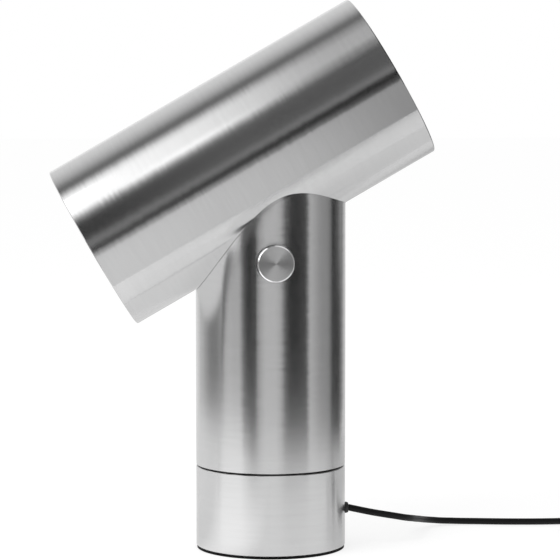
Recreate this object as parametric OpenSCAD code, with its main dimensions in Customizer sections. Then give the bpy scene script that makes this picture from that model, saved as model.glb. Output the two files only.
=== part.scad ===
// Tabletop searchlight lamp: a tilted cylindrical head coped onto a column that swivels on its base.
// The origin is the centre of the foot's underside, on the swivel axis, and +Z is up.
// The mouth of the head faces -X and down, the dimmer knob faces -Y, and the mains cord leaves along +X.

/* [Head] */
// Outside diameter of the head tube
head_d = 130; // [124:1:140]
// Wall of the head tube
head_wall = 2.5; // [2:0.1:3.5]
// Distance from the crossing of the two axes to the rim of the mouth
head_front = 152.5; // [148:0.5:180]
// Distance from the crossing of the two axes to the rear rim
head_rear = 103.5; // [90:0.5:130]
// Rise of the head's axis above the horizontal, in degrees
head_tilt = 30; // [26:1:32]
// Chamfer on the rims of the head
head_chamfer = 0.6; // [0.2:0.1:1]
// Depth of the front ring behind the rim of the mouth
mouth_recess = 12; // [8:0.5:16]
// Depth of the rear cap's face behind the rear rim
cap_recess = 2; // [1:0.5:5]

/* [Column] */
// Outside diameter of the column and of the base under it
column_d = 112; // [108:1:118]
// Wall of the column tube
column_wall = 3; // [2.6:0.1:3.6]
// Height at which the axes of the head and the column cross
axis_h = 302; // [298:1:340]
// Thickness of the column's foot disc
foot_disc_t = 8; // [7:0.5:12]
// Chamfer on the outer edges of the column and the base
edge_chamfer = 0.5; // [0.2:0.1:1]

/* [Base] */
// Height of the top of the base shell, just under the seam
seam_h = 62; // [58:1:70]
// Width of the seam between the base and the column
seam_gap = 1; // [0.6:0.1:2]
// Wall of the base shell
base_wall = 3; // [2.5:0.1:4]
// Thickness of the base shell's top
base_top_t = 6; // [5:0.5:8]
// Thickness of the rubber foot pad
pad_t = 2; // [2:0.1:3]
// Inset of the foot pad from the outside of the base
pad_inset = 0.6; // [0.3:0.1:3]
// Thickness of the bottom plate
plate_t = 1.5; // [1:0.1:3]
// Thickness of the cast iron weight
weight_t = 19; // [14:0.5:20]

/* [Swivel] */
// Diameter of the hollow swivel spindle
spindle_d = 16; // [14:0.5:18]
// Bore of the spindle, which the mains lead passes through
spindle_bore = 8; // [7:0.5:9]
// Turn of the column to each side before it meets its stop, in degrees
swivel_reach = 170; // [90:1:172]

/* [Dimmer] */
// Diameter of the dimmer knob
knob_d = 27; // [24:0.5:32]
// Distance that the knob stands out of the column
knob_proud = 9; // [7:0.5:12]
// Distance from the head's underside over the column's axis down to the knob's centre
knob_below = 8.6; // [6:0.1:16]
// Clearance between the knob and its hole in the column
knob_clear = 0.5; // [0.3:0.1:1.5]
// Diameter of the dimmer's shaft
shaft_d = 6; // [5:0.5:6.5]

/* [Light] */
// Thickness of the opal diffuser
diffuser_t = 3; // [2:0.5:5]
// Length of the conical reflector
reflector_len = 22; // [18:1:26]
// Diameter of the light-emitting board
board_d = 72; // [68:1:80]
// Thickness of the heat sink's plate
sink_t = 5; // [4:0.5:8]
// Height of the heat sink's fins
fin_h = 26; // [12:1:28]
// Thickness of one fin
fin_t = 2.5; // [1.5:0.1:3]
// Distance between the middles of neighbouring fins
fin_pitch = 9; // [8:0.5:14]

/* [Cord and plug] */
// Diameter of the mains cord
cord_d = 5; // [4:0.1:5.4]
// Height at which the cord leaves the base
cord_h = 28.6; // [28:0.1:34]
// Width of the plug's body
plug_w = 35.3; // [32:0.1:40]
// Length of the plug's body
plug_len = 37; // [30:0.5:42]
// Thickness of the plug's body
plug_t = 13.7; // [12:0.1:16]
// Diameter of one plug pin
pin_d = 4; // [3:0.1:5]
// Length of one plug pin
pin_len = 19; // [15:0.5:22]
// Distance between the middles of the plug pins
pin_pitch = 18.6; // [16:0.1:20]

/* [Hidden] */
$fn = 96;

// Overrun of a cut past the face that it opens
over = 1;
// Clearance of a screw, shaft or pin in its bore, on the radius
fit = 0.05;
// Clearance of a disc that slides into a tube, on the radius
slide = 0.3;
// Gap between two curved faces that seat on each other
seat_gap = 0.1;

// Sizes of the small hardware
m3_r = 1.5;
m3_head_r = 2.8;
m3_head_t = 1.6;
m4_r = 2;
m4_head_r = 3.5;
m4_head_t = 1.7;
m5_r = 2.5;
m5_nut_r = 4.6;
m5_nut_t = 4;
m5_flange_r = 5.5;
m5_flange_t = 1;
m5_slack = 0.2;

// Radii of the column and the base
column_r = column_d / 2;
column_in_r = column_r - column_wall;
base_in_r = column_r - base_wall;

// Heights in the base, from the foot up
plate_z = pad_t;
weight_z = plate_z + plate_t;
weight_top = weight_z + weight_t;
base_ceiling = seam_h - base_top_t;
column_z = seam_h + seam_gap;
foot_top = column_z + foot_disc_t;
foot_seat_share = 0.4;
foot_seat_r = column_in_r + column_wall * foot_seat_share;

// Base screws and the bosses that they enter
boss_count = 3;
boss_ring_r = 40;
boss_r = 4.5;
base_screw_len = 30;
pad_hole_r = 4.5;
weight_bore_r = 20;
screw_slack = 0.3;
plate_slack = 0.5;

// Thrust washer between the base and the column
thrust_in_r = 20;
thrust_out_r = 34;
thrust_recess = 1;
thrust_t = thrust_recess + seam_gap;

// Spindle, bush and nut of the swivel
spindle_r = spindle_d / 2;
spindle_flange_r = 14;
spindle_flange_t = 3;
bush_wall = 3;
bush_flange = 3;
bush_r = spindle_r + bush_wall;
bush_flange_r = bush_r + bush_flange;
bush_flange_t = 1.5;
bush_sink = 0.5;
bush_z = base_ceiling - bush_flange_t;
washer_t = 1.2;
washer_z = bush_z - washer_t;
swivel_nut_r = 13;
swivel_nut_t = 6.5;
swivel_nut_z = washer_z - swivel_nut_t;
spindle_tip = 1.8;
spindle_z = swivel_nut_z - spindle_tip;

// Stop pin in the column and the groove that it runs in
stop_ring_r = 44;
stop_pin_r = 1.5;
stop_groove_w = 4;
stop_groove_t = 2.6;
stop_clear = 0.4;
stop_hold = 6;
stop_slack_a = 0.35;
stop_groove_a = swivel_reach + asin(stop_pin_r / stop_ring_r) + stop_slack_a;

// Cord gland, its nut, and the clamp behind it
cord_r = cord_d / 2;
cord_bore_r = cord_r + fit;
gland_flange_r = 4.25;
gland_proud = 2.6;
gland_spot = 0.3;
gland_spot_r = gland_flange_r + slide;
gland_neck_wall = 1;
gland_neck_r = cord_r + gland_neck_wall;
gland_nut_r = 5.5;
gland_nut_t = 3;
gland_tip = 1;
gland_face = column_r + gland_proud;
gland_seat = column_r - gland_spot;
gland_nut_x = sqrt(pow(base_in_r, 2) - pow(gland_nut_r, 2)) - fit - gland_nut_t;
clamp_x = 34;
clamp_len = 8;
clamp_w = 19;
clamp_over_cord = 2.5;
clamp_screw_y = 6.4;
clamp_screw_hold = 8;
clamp_top = cord_h + cord_r + clamp_over_cord;
lead_gap = 0.3;
lead_stub = 1.5;

// Tie rods that hold the head, the column and the foot disc together
rod_side_x = 28;
rod_front_y = 27;
rod_back_y = 40;
rod_places = [[-rod_side_x, -rod_front_y], [rod_side_x, -rod_front_y], [0, rod_back_y]];
rod_inset = 1;
rod_start = column_z + rod_inset;
rod_tip = 2;
rod_seat_r = 8;
rod_seat_t = 1;

// Head tube
head_r = head_d / 2;
head_in_r = head_r - head_wall;
groove_depth = 1.2;
groove_r = head_in_r + groove_depth;

// Stack behind the mouth, along the head's axis, from the rim inwards
ring_t = 2;
board_t = 1.6;
circlip_t = 1.5;
ring_z = -head_front + mouth_recess;
diffuser_z = ring_z + ring_t;
reflector_z = diffuser_z + diffuser_t;
board_z = reflector_z + reflector_len;
sink_z = board_z + board_t;
circlip_z = sink_z + sink_t;
ring_w = 4;
ring_split_a = 12;
diffuser_slack = 0.5;

// Reflector, board and heat sink
reflector_wall = 1.5;
board_margin = 2;
reflector_small_r = board_d / 2 - board_margin;
reflector_big_r = head_in_r - ring_w + reflector_wall / 2;
reflector_flange_t = 1.5;
chip_side = 3;
chip_t = 0.7;
chip_ring_r = 11;
chip_rings = 2;
chips_in_ring = 8;
board_screw_r = 29;
board_screw_count = 4;
fin_in = 5.5;
fin_r = head_in_r - fin_in;
fin_pairs = floor((fin_r - fin_t) / fin_pitch + 1 / 2);

// Rear cap and its seal
cap_t = 3;
cap_skirt = 12;
cap_skirt_t = 4;
cap_face = head_rear - cap_recess;
seal_r = 1.4;
seal_slack = 0.1;
seal_mid_r = head_in_r - fit - seal_r;
seal_z = cap_face - cap_t - cap_skirt / 2;

// Knob and dimmer, measured outwards from the column's axis
knob_r = knob_d / 2;
knob_h = axis_h - head_r / cos(head_tilt) - knob_below;
knob_len = 14;
knob_front = column_r + knob_proud;
knob_back = knob_front - knob_len;
knob_chamfer = 0.9;
knob_socket_r = 6;
knob_socket_t = 3;
knob_skin = 3.5;
knob_hole_r = knob_r + knob_clear;
shaft_r = shaft_d / 2;
shaft_end = knob_front - knob_skin - slide;
grub_y = shaft_end - m3_r - slide;
grub_tip = 1;
bush_gap = 0.5;
bracket_gap = 7.5;
bracket_t = 1.5;
bracket_face = knob_back - bracket_gap;
bracket_back = bracket_face - bracket_t;
dimmer_r = 10;
dimmer_t = 12;
dimmer_back = bracket_back - dimmer_t;
dimmer_neck_wall = 1.5;
dimmer_neck_r = shaft_r + dimmer_neck_wall;
dimmer_nut_r = 7;
dimmer_nut_t = 2.5;
bracket_half_w = 16;
bracket_over = 1;
bracket_ear = 6;
bracket_drop = 20;
bracket_z = knob_h - bracket_drop;
terminal_w = 3;
terminal_t = 0.8;
terminal_len = 5;
terminal_pitch = 5;
terminal_drop = 7;

// Driver and its bracket, in the column
driver_w = 50;
driver_t = 20;
driver_y = 24;
driver_lift = 39;
driver_gap = 19.3;
driver_z = foot_top + driver_lift;
driver_top = head_under(-driver_w / 2, driver_y - driver_t / 2) - driver_gap;
driver_len = driver_top - driver_z;
driver_chamfer = 3;
driver_ear = 8;
driver_ear_t = 2;
sheet_w = 40;
sheet_t = 1.5;
sheet_y = driver_y + driver_t / 2;
sheet_top = driver_top + driver_ear;
tab_len = 16;
tab_screw_x = 14;
lead_offset = 10;
lead_pull = 16;

// Leads inside the lamp
wire_r = 2;
dimmer_wire_r = 1.75;
wire_z = -22;
wire_hole_r = 6;
grommet_flange_r = 8;
grommet_flange_t = 1.5;
wire_board_x = 24;
lead_sides = 8;
lead_steps = 8;

// Coil of the cord, and where it lies
coil_x = 278;
coil_y = 45;
coil_r = 34;
coil_gap = 0.5;
coil_layers = 4;
coil_turns = 8.5;
coil_rings = 24;
coil_sides = 6;
cord_sides = 8;

// Plug, lying on the table beside the coil
plug_x = 311;
plug_y = -33;
plug_front_len = 14;
plug_rear_w = 14;
plug_side_w = 5.2;
plug_flat_w = 24;
relief_len = 20;
relief_r = 4.8;
relief_tip_r = 3.6;
pin_tip = 1;

// Route of the cord from the gland to the coil
cord_route = [
    [67.6, 0, 26.6], [76.6, 0, 24.7], [85.6, 0.5, 23], [94.1, 3.4, 21.1], [101.4, 8.6, 19],
    [106.9, 15.6, 17.1], [110.3, 23.9, 15.4], [113.1, 32.5, 13.6], [116, 41.5, 11.8], [119, 50.6, 10],
    [122, 59.6, 8.1], [126.2, 66.9, 6.5], [132.1, 73, 5], [139.3, 77.5, 3.7], [147.4, 80, 3],
    [155.8, 80.5, 2.6], [168, 79.5, 2.5], [180, 77.7, 2.5], [192, 76.2, 2.5], [204, 75.2, 2.5],
    [216, 74.7, 2.5], [228, 74.9, 2.5], [240, 75.8, 2.5], [252, 77.2, 2.5], [263, 78.6, 2.5]
];
// Route of the cord from the coil to the plug
tail_route = [
    [262, 11, 18.8], [252, 11, 18.3], [245.2, 9.9, 18], [239.1, 6.8, 17.2], [234.2, 1.9, 16],
    [231.1, -4.2, 14.4], [230, -11, 12.7], [231.1, -17.8, 10.9], [234.2, -23.9, 9.3], [239.1, -28.8, 8.1],
    [245.2, -31.9, 7.3]
];

// Unit vector along v
function unit(v) = v / norm(v);
// Direction of a path at its point i
function heading(p, i) =
    i == 0 ? unit(p[1] - p[0])
    : i == len(p) - 1 ? unit(p[i] - p[i - 1])
    : unit(unit(p[i + 1] - p[i]) + unit(p[i] - p[i - 1]));
// Ring of points round a path at its point i, with its first point across the side vector
function ring_at(p, i, r, sides, side) =
    let (t = heading(p, i), a = unit(cross(side, t)), b = cross(t, a))
    [for (k = [0 : sides - 1]) p[i] + r * (cos(360 * k / sides) * a + sin(360 * k / sides) * b)];
// Curve from p to q that leaves along u and arrives along v, with the given pull at each end
function bend(p, u, q, v, pull, steps) = [
    for (i = [0 : steps])
        let (t = i / steps, s = 1 - t)
        s * s * s * p + 3 * s * s * t * (p + pull * u) + 3 * s * t * t * (q - pull * v) + t * t * t * q
];
// Height of the head tube's underside above a place on the table
function head_under(x, y) =
    axis_h + x * tan(head_tilt) - sqrt(pow(head_r, 2) - pow(y, 2)) / cos(head_tilt);
// Height of the head tube's lower inside wall above a place on the table
function head_floor(x, y) =
    axis_h + x * tan(head_tilt) - sqrt(pow(head_in_r, 2) - pow(y, 2)) / cos(head_tilt);
// Height of the flat top of a rod seat
function seat_top(place) = head_floor(place.x + rod_seat_r, abs(place.y) + rod_seat_r) + rod_seat_t;
// Point of the head's own frame in the lamp's frame
function head_point(p) = [
    p.z * cos(head_tilt) + p.x * sin(head_tilt),
    p.y,
    axis_h + p.z * sin(head_tilt) - p.x * cos(head_tilt)
];

// Coil: the turns spiral in and out at a steady rate and climb a layer in the half turn at each reversal
coil_pitch = cord_d + coil_gap;
layer_turns = coil_turns / coil_layers;
function coil_radius(turn) =
    let (layer = floor(turn / layer_turns), part = turn - layer * layer_turns)
    coil_r - coil_pitch * (layer % 2 == 0 ? part : layer_turns - part);
function smooth(t) = t * t * (3 - 2 * t);
function coil_height(turn) =
    let (near = min(max(round(turn / layer_turns), 1), coil_layers - 1))
    let (t = (turn - near * layer_turns) * 2 + 1 / 2)
    cord_r + coil_pitch * (near - 1 + smooth(min(max(t, 0), 1)));
coil_start = [coil_x - cord_d, coil_y + coil_r, cord_r];
coil_end = [coil_x - cord_d, coil_y - coil_radius(coil_turns), cord_r + (coil_layers - 1) * coil_pitch];
coil_steps = round(coil_turns * coil_rings);
coil_path = concat(
    [coil_start],
    [
        for (i = [0 : coil_steps])
            let (turn = i / coil_rings, a = 90 - 360 * turn, r = coil_radius(turn))
            [coil_x + r * cos(a), coil_y + r * sin(a), coil_height(turn)]
    ],
    [coil_end]
);
// Least gap of the coil to itself, between points at least half a turn apart
coil_least_gap = min([
    for (i = [0 : len(coil_path) - 1], j = [i + coil_rings / 2 : len(coil_path) - 1])
        norm(coil_path[i] - coil_path[j])
]) - cord_d;
echo(coil_least_gap = coil_least_gap);

// Paths of the cord's free stretches
relief_start = plug_x - plug_len - relief_len;
cord_exit = [gland_face, 0, cord_h];
plug_entry = [relief_start, plug_y, plug_t / 2];
stub = [lead_stub, 0, 0];
cord_path = concat([cord_exit, cord_exit + stub], cord_route, [coil_start - stub, coil_start]);
tail_path = concat([coil_end, coil_end - stub], tail_route, [plug_entry - stub, plug_entry]);

// Tube swept along a path
module tube(path, r, sides, side) {
    last = len(path) - 1;
    points = [for (i = [0 : last]) each ring_at(path, i, r, sides, side)];
    start_cap = [for (k = [1 : sides - 2]) [0, k, k + 1]];
    end_cap = [for (k = [1 : sides - 2]) [0, k + 1, k] + last * sides * [1, 1, 1]];
    wall = [
        for (i = [0 : last - 1], k = [0 : sides - 1])
            let (a = i * sides + k, b = i * sides + (k + 1) % sides)
            each [[a, a + sides, b + sides], [a, b + sides, b]]
    ];
    polyhedron(points, concat(start_cap, wall, end_cap));
}

// Round disc with a bore
module washer(r, bore_r, h) {
    difference() {
        cylinder(r = r, h = h);
        translate([0, 0, -over]) cylinder(r = bore_r, h = h + 2 * over);
    }
}

// Hexagonal nut with a bore
module nut(r, bore_r, h) {
    difference() {
        cylinder(r = r, h = h, $fn = 6);
        translate([0, 0, -over]) cylinder(r = bore_r, h = h + 2 * over);
    }
}

// Screw whose head stands above its seat at zero and whose shank reaches down
module screw(r, len, head_r, head_t) {
    translate([0, 0, -len]) cylinder(r = r, h = len + head_t / 2);
    cylinder(r = head_r, h = head_t);
}

// Split retaining ring in a groove of the head, open towards the head's top
module snap_ring(t) {
    rotate([0, 0, 180 + ring_split_a / 2])
        rotate_extrude(angle = 360 - ring_split_a)
            translate([head_in_r - ring_w, 0]) square([ring_w + groove_depth - seat_gap, t]);
}

// Places children in the head's own frame, with +Z along its axis to the rear and +X down
module in_head() {
    translate([0, 0, axis_h]) rotate([0, 90 - head_tilt, 0]) children();
}

// Places children with +Z out of the front of the column, through the knob's centre
module in_front() {
    translate([0, 0, knob_h]) rotate([90, 0, 0]) children();
}

// Repeats children at the bosses of the base
module at_bosses() {
    for (i = [0 : boss_count - 1])
        rotate([0, 0, 180 + 360 * i / boss_count]) translate([boss_ring_r, 0, 0]) children();
}

// Repeats children at the tie rods
module at_rods(places = rod_places) {
    for (place = places) translate([place.x, place.y, 0]) children();
}

// Base

module foot_pad() {
    color([0.06, 0.06, 0.06])
    difference() {
        cylinder(r = column_r - pad_inset, h = pad_t);
        at_bosses() translate([0, 0, -over]) cylinder(r = pad_hole_r, h = pad_t + 2 * over);
    }
}

module bottom_plate() {
    color([0.55, 0.56, 0.58])
    translate([0, 0, plate_z])
    difference() {
        cylinder(r = base_in_r - plate_slack, h = plate_t);
        at_bosses() translate([0, 0, -over]) cylinder(r = m4_r + screw_slack, h = plate_t + 2 * over);
    }
}

module base_screws() {
    color([0.7, 0.7, 0.72])
    translate([0, 0, plate_z]) mirror([0, 0, 1])
        at_bosses() screw(m4_r, base_screw_len, m4_head_r, m4_head_t);
}

module base_weight() {
    color([0.2, 0.2, 0.21])
    translate([0, 0, weight_z])
    difference() {
        washer(base_in_r - slide, weight_bore_r, weight_t);
        at_bosses() translate([0, 0, -over]) cylinder(r = m4_r + screw_slack, h = weight_t + 2 * over);
        for (side = [-1, 1])
            translate([clamp_x + clamp_len / 2, side * clamp_screw_y, weight_t - clamp_screw_hold - slide])
                cylinder(r = m3_r + fit, h = clamp_screw_hold + slide + over);
    }
}

module base_cup() {
    rotate_extrude()
    polygon([
        [column_r - edge_chamfer, pad_t], [column_r, pad_t + edge_chamfer],
        [column_r, seam_h - edge_chamfer], [column_r - edge_chamfer, seam_h],
        [bush_r + fit, seam_h], [bush_r + fit, base_ceiling],
        [base_in_r, base_ceiling], [base_in_r, pad_t]
    ]);
}

module base_shell() {
    color([0.78, 0.78, 0.79])
    difference() {
        union() {
            base_cup();
            at_bosses() translate([0, 0, weight_top])
                cylinder(r = boss_r, h = base_ceiling - weight_top + base_top_t / 4);
        }
        translate([0, 0, seam_h - thrust_recess]) washer(thrust_out_r, thrust_in_r, thrust_recess + over);
        rotate([0, 0, 90 - stop_groove_a])
            rotate_extrude(angle = 2 * stop_groove_a)
                translate([stop_ring_r - stop_groove_w / 2, seam_h - stop_groove_t])
                    square([stop_groove_w, stop_groove_t + over]);
        at_bosses() translate([0, 0, weight_top - over])
            cylinder(r = m4_r + fit, h = plate_z + base_screw_len - weight_top + 2 * over);
        translate([base_in_r - over, 0, cord_h]) rotate([0, 90, 0])
            cylinder(r = gland_neck_r + fit, h = base_wall + 2 * over);
        translate([gland_seat, 0, cord_h]) rotate([0, 90, 0])
            cylinder(r = gland_spot_r, h = gland_spot + over);
    }
}

module spindle_bush() {
    color([0.72, 0.56, 0.28])
    rotate_extrude()
    polygon([
        [spindle_r + fit, bush_z], [bush_flange_r, bush_z], [bush_flange_r, base_ceiling],
        [bush_r, base_ceiling], [bush_r, seam_h - bush_sink], [spindle_r + fit, seam_h - bush_sink]
    ]);
}

module thrust_washer() {
    color([0.9, 0.9, 0.86])
    translate([0, 0, seam_h - thrust_recess]) washer(thrust_out_r - slide, thrust_in_r + slide, thrust_t);
}

module cord_gland() {
    color([0.06, 0.06, 0.06])
    difference() {
        translate([0, 0, cord_h]) rotate([0, 90, 0]) {
            translate([0, 0, gland_seat]) cylinder(r = gland_flange_r, h = gland_face - gland_seat);
            translate([0, 0, gland_nut_x - gland_tip])
                cylinder(r = gland_neck_r, h = gland_face - gland_proud / 2 - gland_nut_x + gland_tip);
        }
        translate([gland_nut_x - gland_tip - over, 0, cord_h]) rotate([0, 90, 0])
            cylinder(r = cord_bore_r, h = gland_face - gland_nut_x + gland_tip + 2 * over);
    }
}

module gland_nut() {
    color([0.1, 0.1, 0.1])
    translate([gland_nut_x, 0, cord_h]) rotate([0, 90, 0]) nut(gland_nut_r, gland_neck_r + fit, gland_nut_t);
}

module cord_clamp() {
    color([0.15, 0.15, 0.16])
    difference() {
        translate([clamp_x, -clamp_w / 2, weight_top]) cube([clamp_len, clamp_w, clamp_top - weight_top]);
        translate([clamp_x - over, 0, cord_h]) rotate([0, 90, 0])
            cylinder(r = cord_bore_r, h = clamp_len + 2 * over);
        for (side = [-1, 1])
            translate([clamp_x + clamp_len / 2, side * clamp_screw_y, weight_top - over])
                cylinder(r = m3_r + fit, h = clamp_top - weight_top + 2 * over);
    }
}

module clamp_screws() {
    color([0.7, 0.7, 0.72])
    for (side = [-1, 1])
        translate([clamp_x + clamp_len / 2, side * clamp_screw_y, clamp_top])
            screw(m3_r, clamp_top - weight_top + clamp_screw_hold, m3_head_r, m3_head_t);
}

module mains_lead_base() {
    start = [gland_face, 0, cord_h];
    finish = [0, 0, spindle_z - lead_gap];
    bend_r = finish.z - cord_h;
    turn_in = [bend_r, 0, cord_h];
    pull = bend_r * tan(90 / 4) * 4 / 3;
    path = concat([start], bend(turn_in, [-1, 0, 0], finish, [0, 0, 1], pull, lead_steps));
    color([0.06, 0.06, 0.06]) tube(path, cord_r, lead_sides, [0, 1, 0]);
}

module power_cord() {
    color([0.05, 0.05, 0.05]) tube(cord_path, cord_r, cord_sides, [0, 0, 1]);
}

module cord_coil() {
    color([0.05, 0.05, 0.05]) tube(coil_path, cord_r, coil_sides, [0, 0, 1]);
}

module cord_tail() {
    color([0.05, 0.05, 0.05]) tube(tail_path, cord_r, cord_sides, [0, 0, 1]);
}

module plug_body() {
    color([0.06, 0.06, 0.06])
    translate([plug_x, plug_y, plug_t / 2]) {
        intersection() {
            translate([0, 0, -plug_t / 2]) linear_extrude(plug_t)
                polygon([
                    [0, -plug_w / 2], [0, plug_w / 2], [-plug_front_len, plug_w / 2],
                    [-plug_len, plug_rear_w / 2], [-plug_len, -plug_rear_w / 2],
                    [-plug_front_len, -plug_w / 2]
                ]);
            rotate([0, -90, 0]) linear_extrude(plug_len)
                polygon([
                    [plug_t / 2, plug_flat_w / 2], [plug_side_w / 2, plug_w / 2],
                    [-plug_side_w / 2, plug_w / 2], [-plug_t / 2, plug_flat_w / 2],
                    [-plug_t / 2, -plug_flat_w / 2], [-plug_side_w / 2, -plug_w / 2],
                    [plug_side_w / 2, -plug_w / 2], [plug_t / 2, -plug_flat_w / 2]
                ]);
        }
        translate([-plug_len - relief_len, 0, 0]) rotate([0, 90, 0])
            cylinder(r1 = relief_tip_r, r2 = relief_r, h = relief_len + over);
    }
}

module plug_pins() {
    color([0.75, 0.72, 0.6])
    for (side = [-1, 1])
        translate([plug_x, plug_y + side * pin_pitch / 2, plug_t / 2]) rotate([0, 90, 0]) {
            cylinder(r = pin_d / 2, h = pin_len - pin_tip);
            translate([0, 0, pin_len - pin_tip]) cylinder(r1 = pin_d / 2, r2 = pin_d / 4, h = pin_tip);
        }
}

// Column

module column_tube() {
    color([0.8, 0.8, 0.81])
    difference() {
        rotate_extrude()
            polygon([
                [foot_seat_r, column_z], [column_r - edge_chamfer, column_z],
                [column_r, column_z + edge_chamfer], [column_r, axis_h], [column_in_r, axis_h],
                [column_in_r, foot_top], [foot_seat_r, foot_top]
            ]);
        in_head() translate([0, 0, -head_front]) cylinder(r = head_r + seat_gap, h = head_front + head_rear);
        in_front() cylinder(r = knob_hole_r, h = column_r + over);
    }
}

module column_foot() {
    color([0.6, 0.61, 0.63])
    translate([0, 0, column_z])
    difference() {
        washer(foot_seat_r - fit, spindle_r + fit, foot_disc_t);
        at_rods() translate([0, 0, -over]) cylinder(r = m5_r + fit, h = foot_disc_t + 2 * over);
        translate([0, stop_ring_r, -over]) cylinder(r = stop_pin_r + fit, h = stop_hold + over);
        for (side = [-1, 1])
            translate([side * tab_screw_x, sheet_y - tab_len / 2, foot_disc_t / 4])
                cylinder(r = m3_r + fit, h = foot_disc_t);
    }
}

module swivel_spindle() {
    color([0.65, 0.65, 0.67])
    rotate_extrude()
    polygon([
        [spindle_bore / 2, spindle_z], [spindle_r, spindle_z], [spindle_r, foot_top],
        [spindle_flange_r, foot_top], [spindle_flange_r, foot_top + spindle_flange_t],
        [spindle_bore / 2, foot_top + spindle_flange_t]
    ]);
}

module friction_washer() {
    color([0.5, 0.5, 0.52])
    translate([0, 0, washer_z]) washer(bush_flange_r, spindle_r + seat_gap, washer_t);
}

module swivel_nut() {
    color([0.68, 0.68, 0.7])
    translate([0, 0, swivel_nut_z]) nut(swivel_nut_r, spindle_r + fit, swivel_nut_t);
}

module stop_pin() {
    color([0.6, 0.6, 0.62])
    translate([0, stop_ring_r, seam_h - stop_groove_t + stop_clear])
        cylinder(r = stop_pin_r, h = stop_groove_t - stop_clear + seam_gap + stop_hold);
}

module tie_rods() {
    color([0.66, 0.66, 0.68])
    for (place = rod_places)
        translate([place.x, place.y, rod_start])
            cylinder(r = m5_r, h = seat_top(place) + m5_flange_t + m5_nut_t + rod_tip - rod_start);
}

module rod_seats() {
    color([0.7, 0.7, 0.72])
    for (place = rod_places)
        difference() {
            intersection() {
                translate([place.x, place.y, foot_top])
                    cylinder(r = rod_seat_r, h = seat_top(place) - foot_top);
                in_head() translate([0, 0, -head_front])
                    cylinder(r = head_in_r - seat_gap, h = head_front + head_rear);
            }
            translate([place.x, place.y, foot_top]) cylinder(r = m5_r + m5_slack, h = axis_h);
        }
}

module rod_nuts() {
    color([0.72, 0.72, 0.74])
    for (place = rod_places)
        translate([place.x, place.y, seat_top(place)])
        difference() {
            union() {
                cylinder(r = m5_flange_r, h = m5_flange_t);
                cylinder(r = m5_nut_r, h = m5_flange_t + m5_nut_t, $fn = 6);
            }
            translate([0, 0, -over]) cylinder(r = m5_r + fit, h = m5_flange_t + m5_nut_t + 2 * over);
        }
}

module driver_bracket() {
    color([0.62, 0.63, 0.65])
    difference() {
        union() {
            translate([-sheet_w / 2, sheet_y, foot_top]) cube([sheet_w, sheet_t, sheet_top - foot_top]);
            translate([-sheet_w / 2, sheet_y - tab_len, foot_top])
                cube([sheet_w, tab_len + sheet_t, sheet_t]);
        }
        for (side = [-1, 1])
            translate([side * tab_screw_x, sheet_y - tab_len / 2, foot_top - over])
                cylinder(r = m3_r + fit, h = sheet_t + 2 * over);
        for (z = [driver_z - driver_ear / 2, driver_top + driver_ear / 2])
            translate([0, sheet_y - over, z]) rotate([-90, 0, 0])
                cylinder(r = m3_r + fit, h = sheet_t + 2 * over);
    }
}

module driver_case() {
    half_w = driver_w / 2;
    half_t = driver_t / 2;
    color([0.85, 0.85, 0.83])
    difference() {
        translate([0, driver_y, 0]) {
            translate([0, 0, driver_z]) linear_extrude(driver_len)
                polygon([
                    [-half_w, half_t], [-half_w, driver_chamfer - half_t], [driver_chamfer - half_w, -half_t],
                    [half_w - driver_chamfer, -half_t], [half_w, driver_chamfer - half_t], [half_w, half_t]
                ]);
            translate([-driver_ear, half_t - driver_ear_t, driver_z - driver_ear])
                cube([2 * driver_ear, driver_ear_t, driver_len + 2 * driver_ear]);
        }
        for (z = [driver_z - driver_ear / 2, driver_top + driver_ear / 2])
            translate([0, sheet_y - driver_t, z]) rotate([-90, 0, 0])
                cylinder(r = m3_r + fit, h = driver_t + over);
    }
}

module driver_screws() {
    color([0.7, 0.7, 0.72]) {
        for (side = [-1, 1])
            translate([side * tab_screw_x, sheet_y - tab_len / 2, foot_top + sheet_t])
                screw(m3_r, sheet_t + foot_disc_t / 2, m3_head_r, m3_head_t);
        for (z = [driver_z - driver_ear / 2, driver_top + driver_ear / 2])
            translate([0, sheet_y - driver_ear_t, z]) rotate([90, 0, 0])
                screw(m3_r, driver_ear_t + sheet_t, m3_head_r, m3_head_t);
    }
}

module mains_lead_column() {
    start = [0, 0, spindle_z];
    leave = [0, 0, foot_top + spindle_flange_t];
    finish = [0, driver_y, driver_z];
    stub = [0, 0, lead_stub];
    path = concat([start], bend(leave, [0, 0, 1], finish - stub, [0, 0, 1], lead_pull, lead_steps), [finish]);
    color([0.06, 0.06, 0.06]) tube(path, cord_r, lead_sides, [1, 0, 0]);
}

module led_lead() {
    start = [-lead_offset, driver_y, driver_top];
    stub = [0, 0, lead_stub];
    outside = head_point([head_r + grommet_flange_t + slide, 0, wire_z]);
    inside = [head_in_r - 2 * grommet_flange_t, 0, wire_z];
    along = [wire_board_x, 0, circlip_z + fin_h];
    inward = unit(head_point([0, 0, 0]) - head_point([head_r, 0, 0]));
    path = concat(
        [start],
        bend(start + stub, [0, 0, 1], outside, inward, lead_pull, lead_steps),
        [
            for (p = bend(inside, [-1, 0, 0], along, [0, 0, -1], lead_pull, lead_steps)) head_point(p)
        ],
        [head_point([wire_board_x, 0, sink_z])]
    );
    color([0.85, 0.85, 0.85]) tube(path, wire_r, lead_sides, [0, 1, 0]);
}

module dimmer_lead() {
    start = [lead_offset, driver_y, driver_top];
    finish = [0, terminal_len - dimmer_back, knob_h - terminal_drop];
    rise = [0, 0, lead_stub];
    run = [0, -lead_stub, 0];
    middle = bend(start + rise, [0, 0, 1], finish - run, [0, -1, 0], lead_pull, lead_steps);
    path = concat([start], middle, [finish]);
    color([0.8, 0.8, 0.78]) tube(path, dimmer_wire_r, lead_sides, [1, 0, 0]);
}

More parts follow.
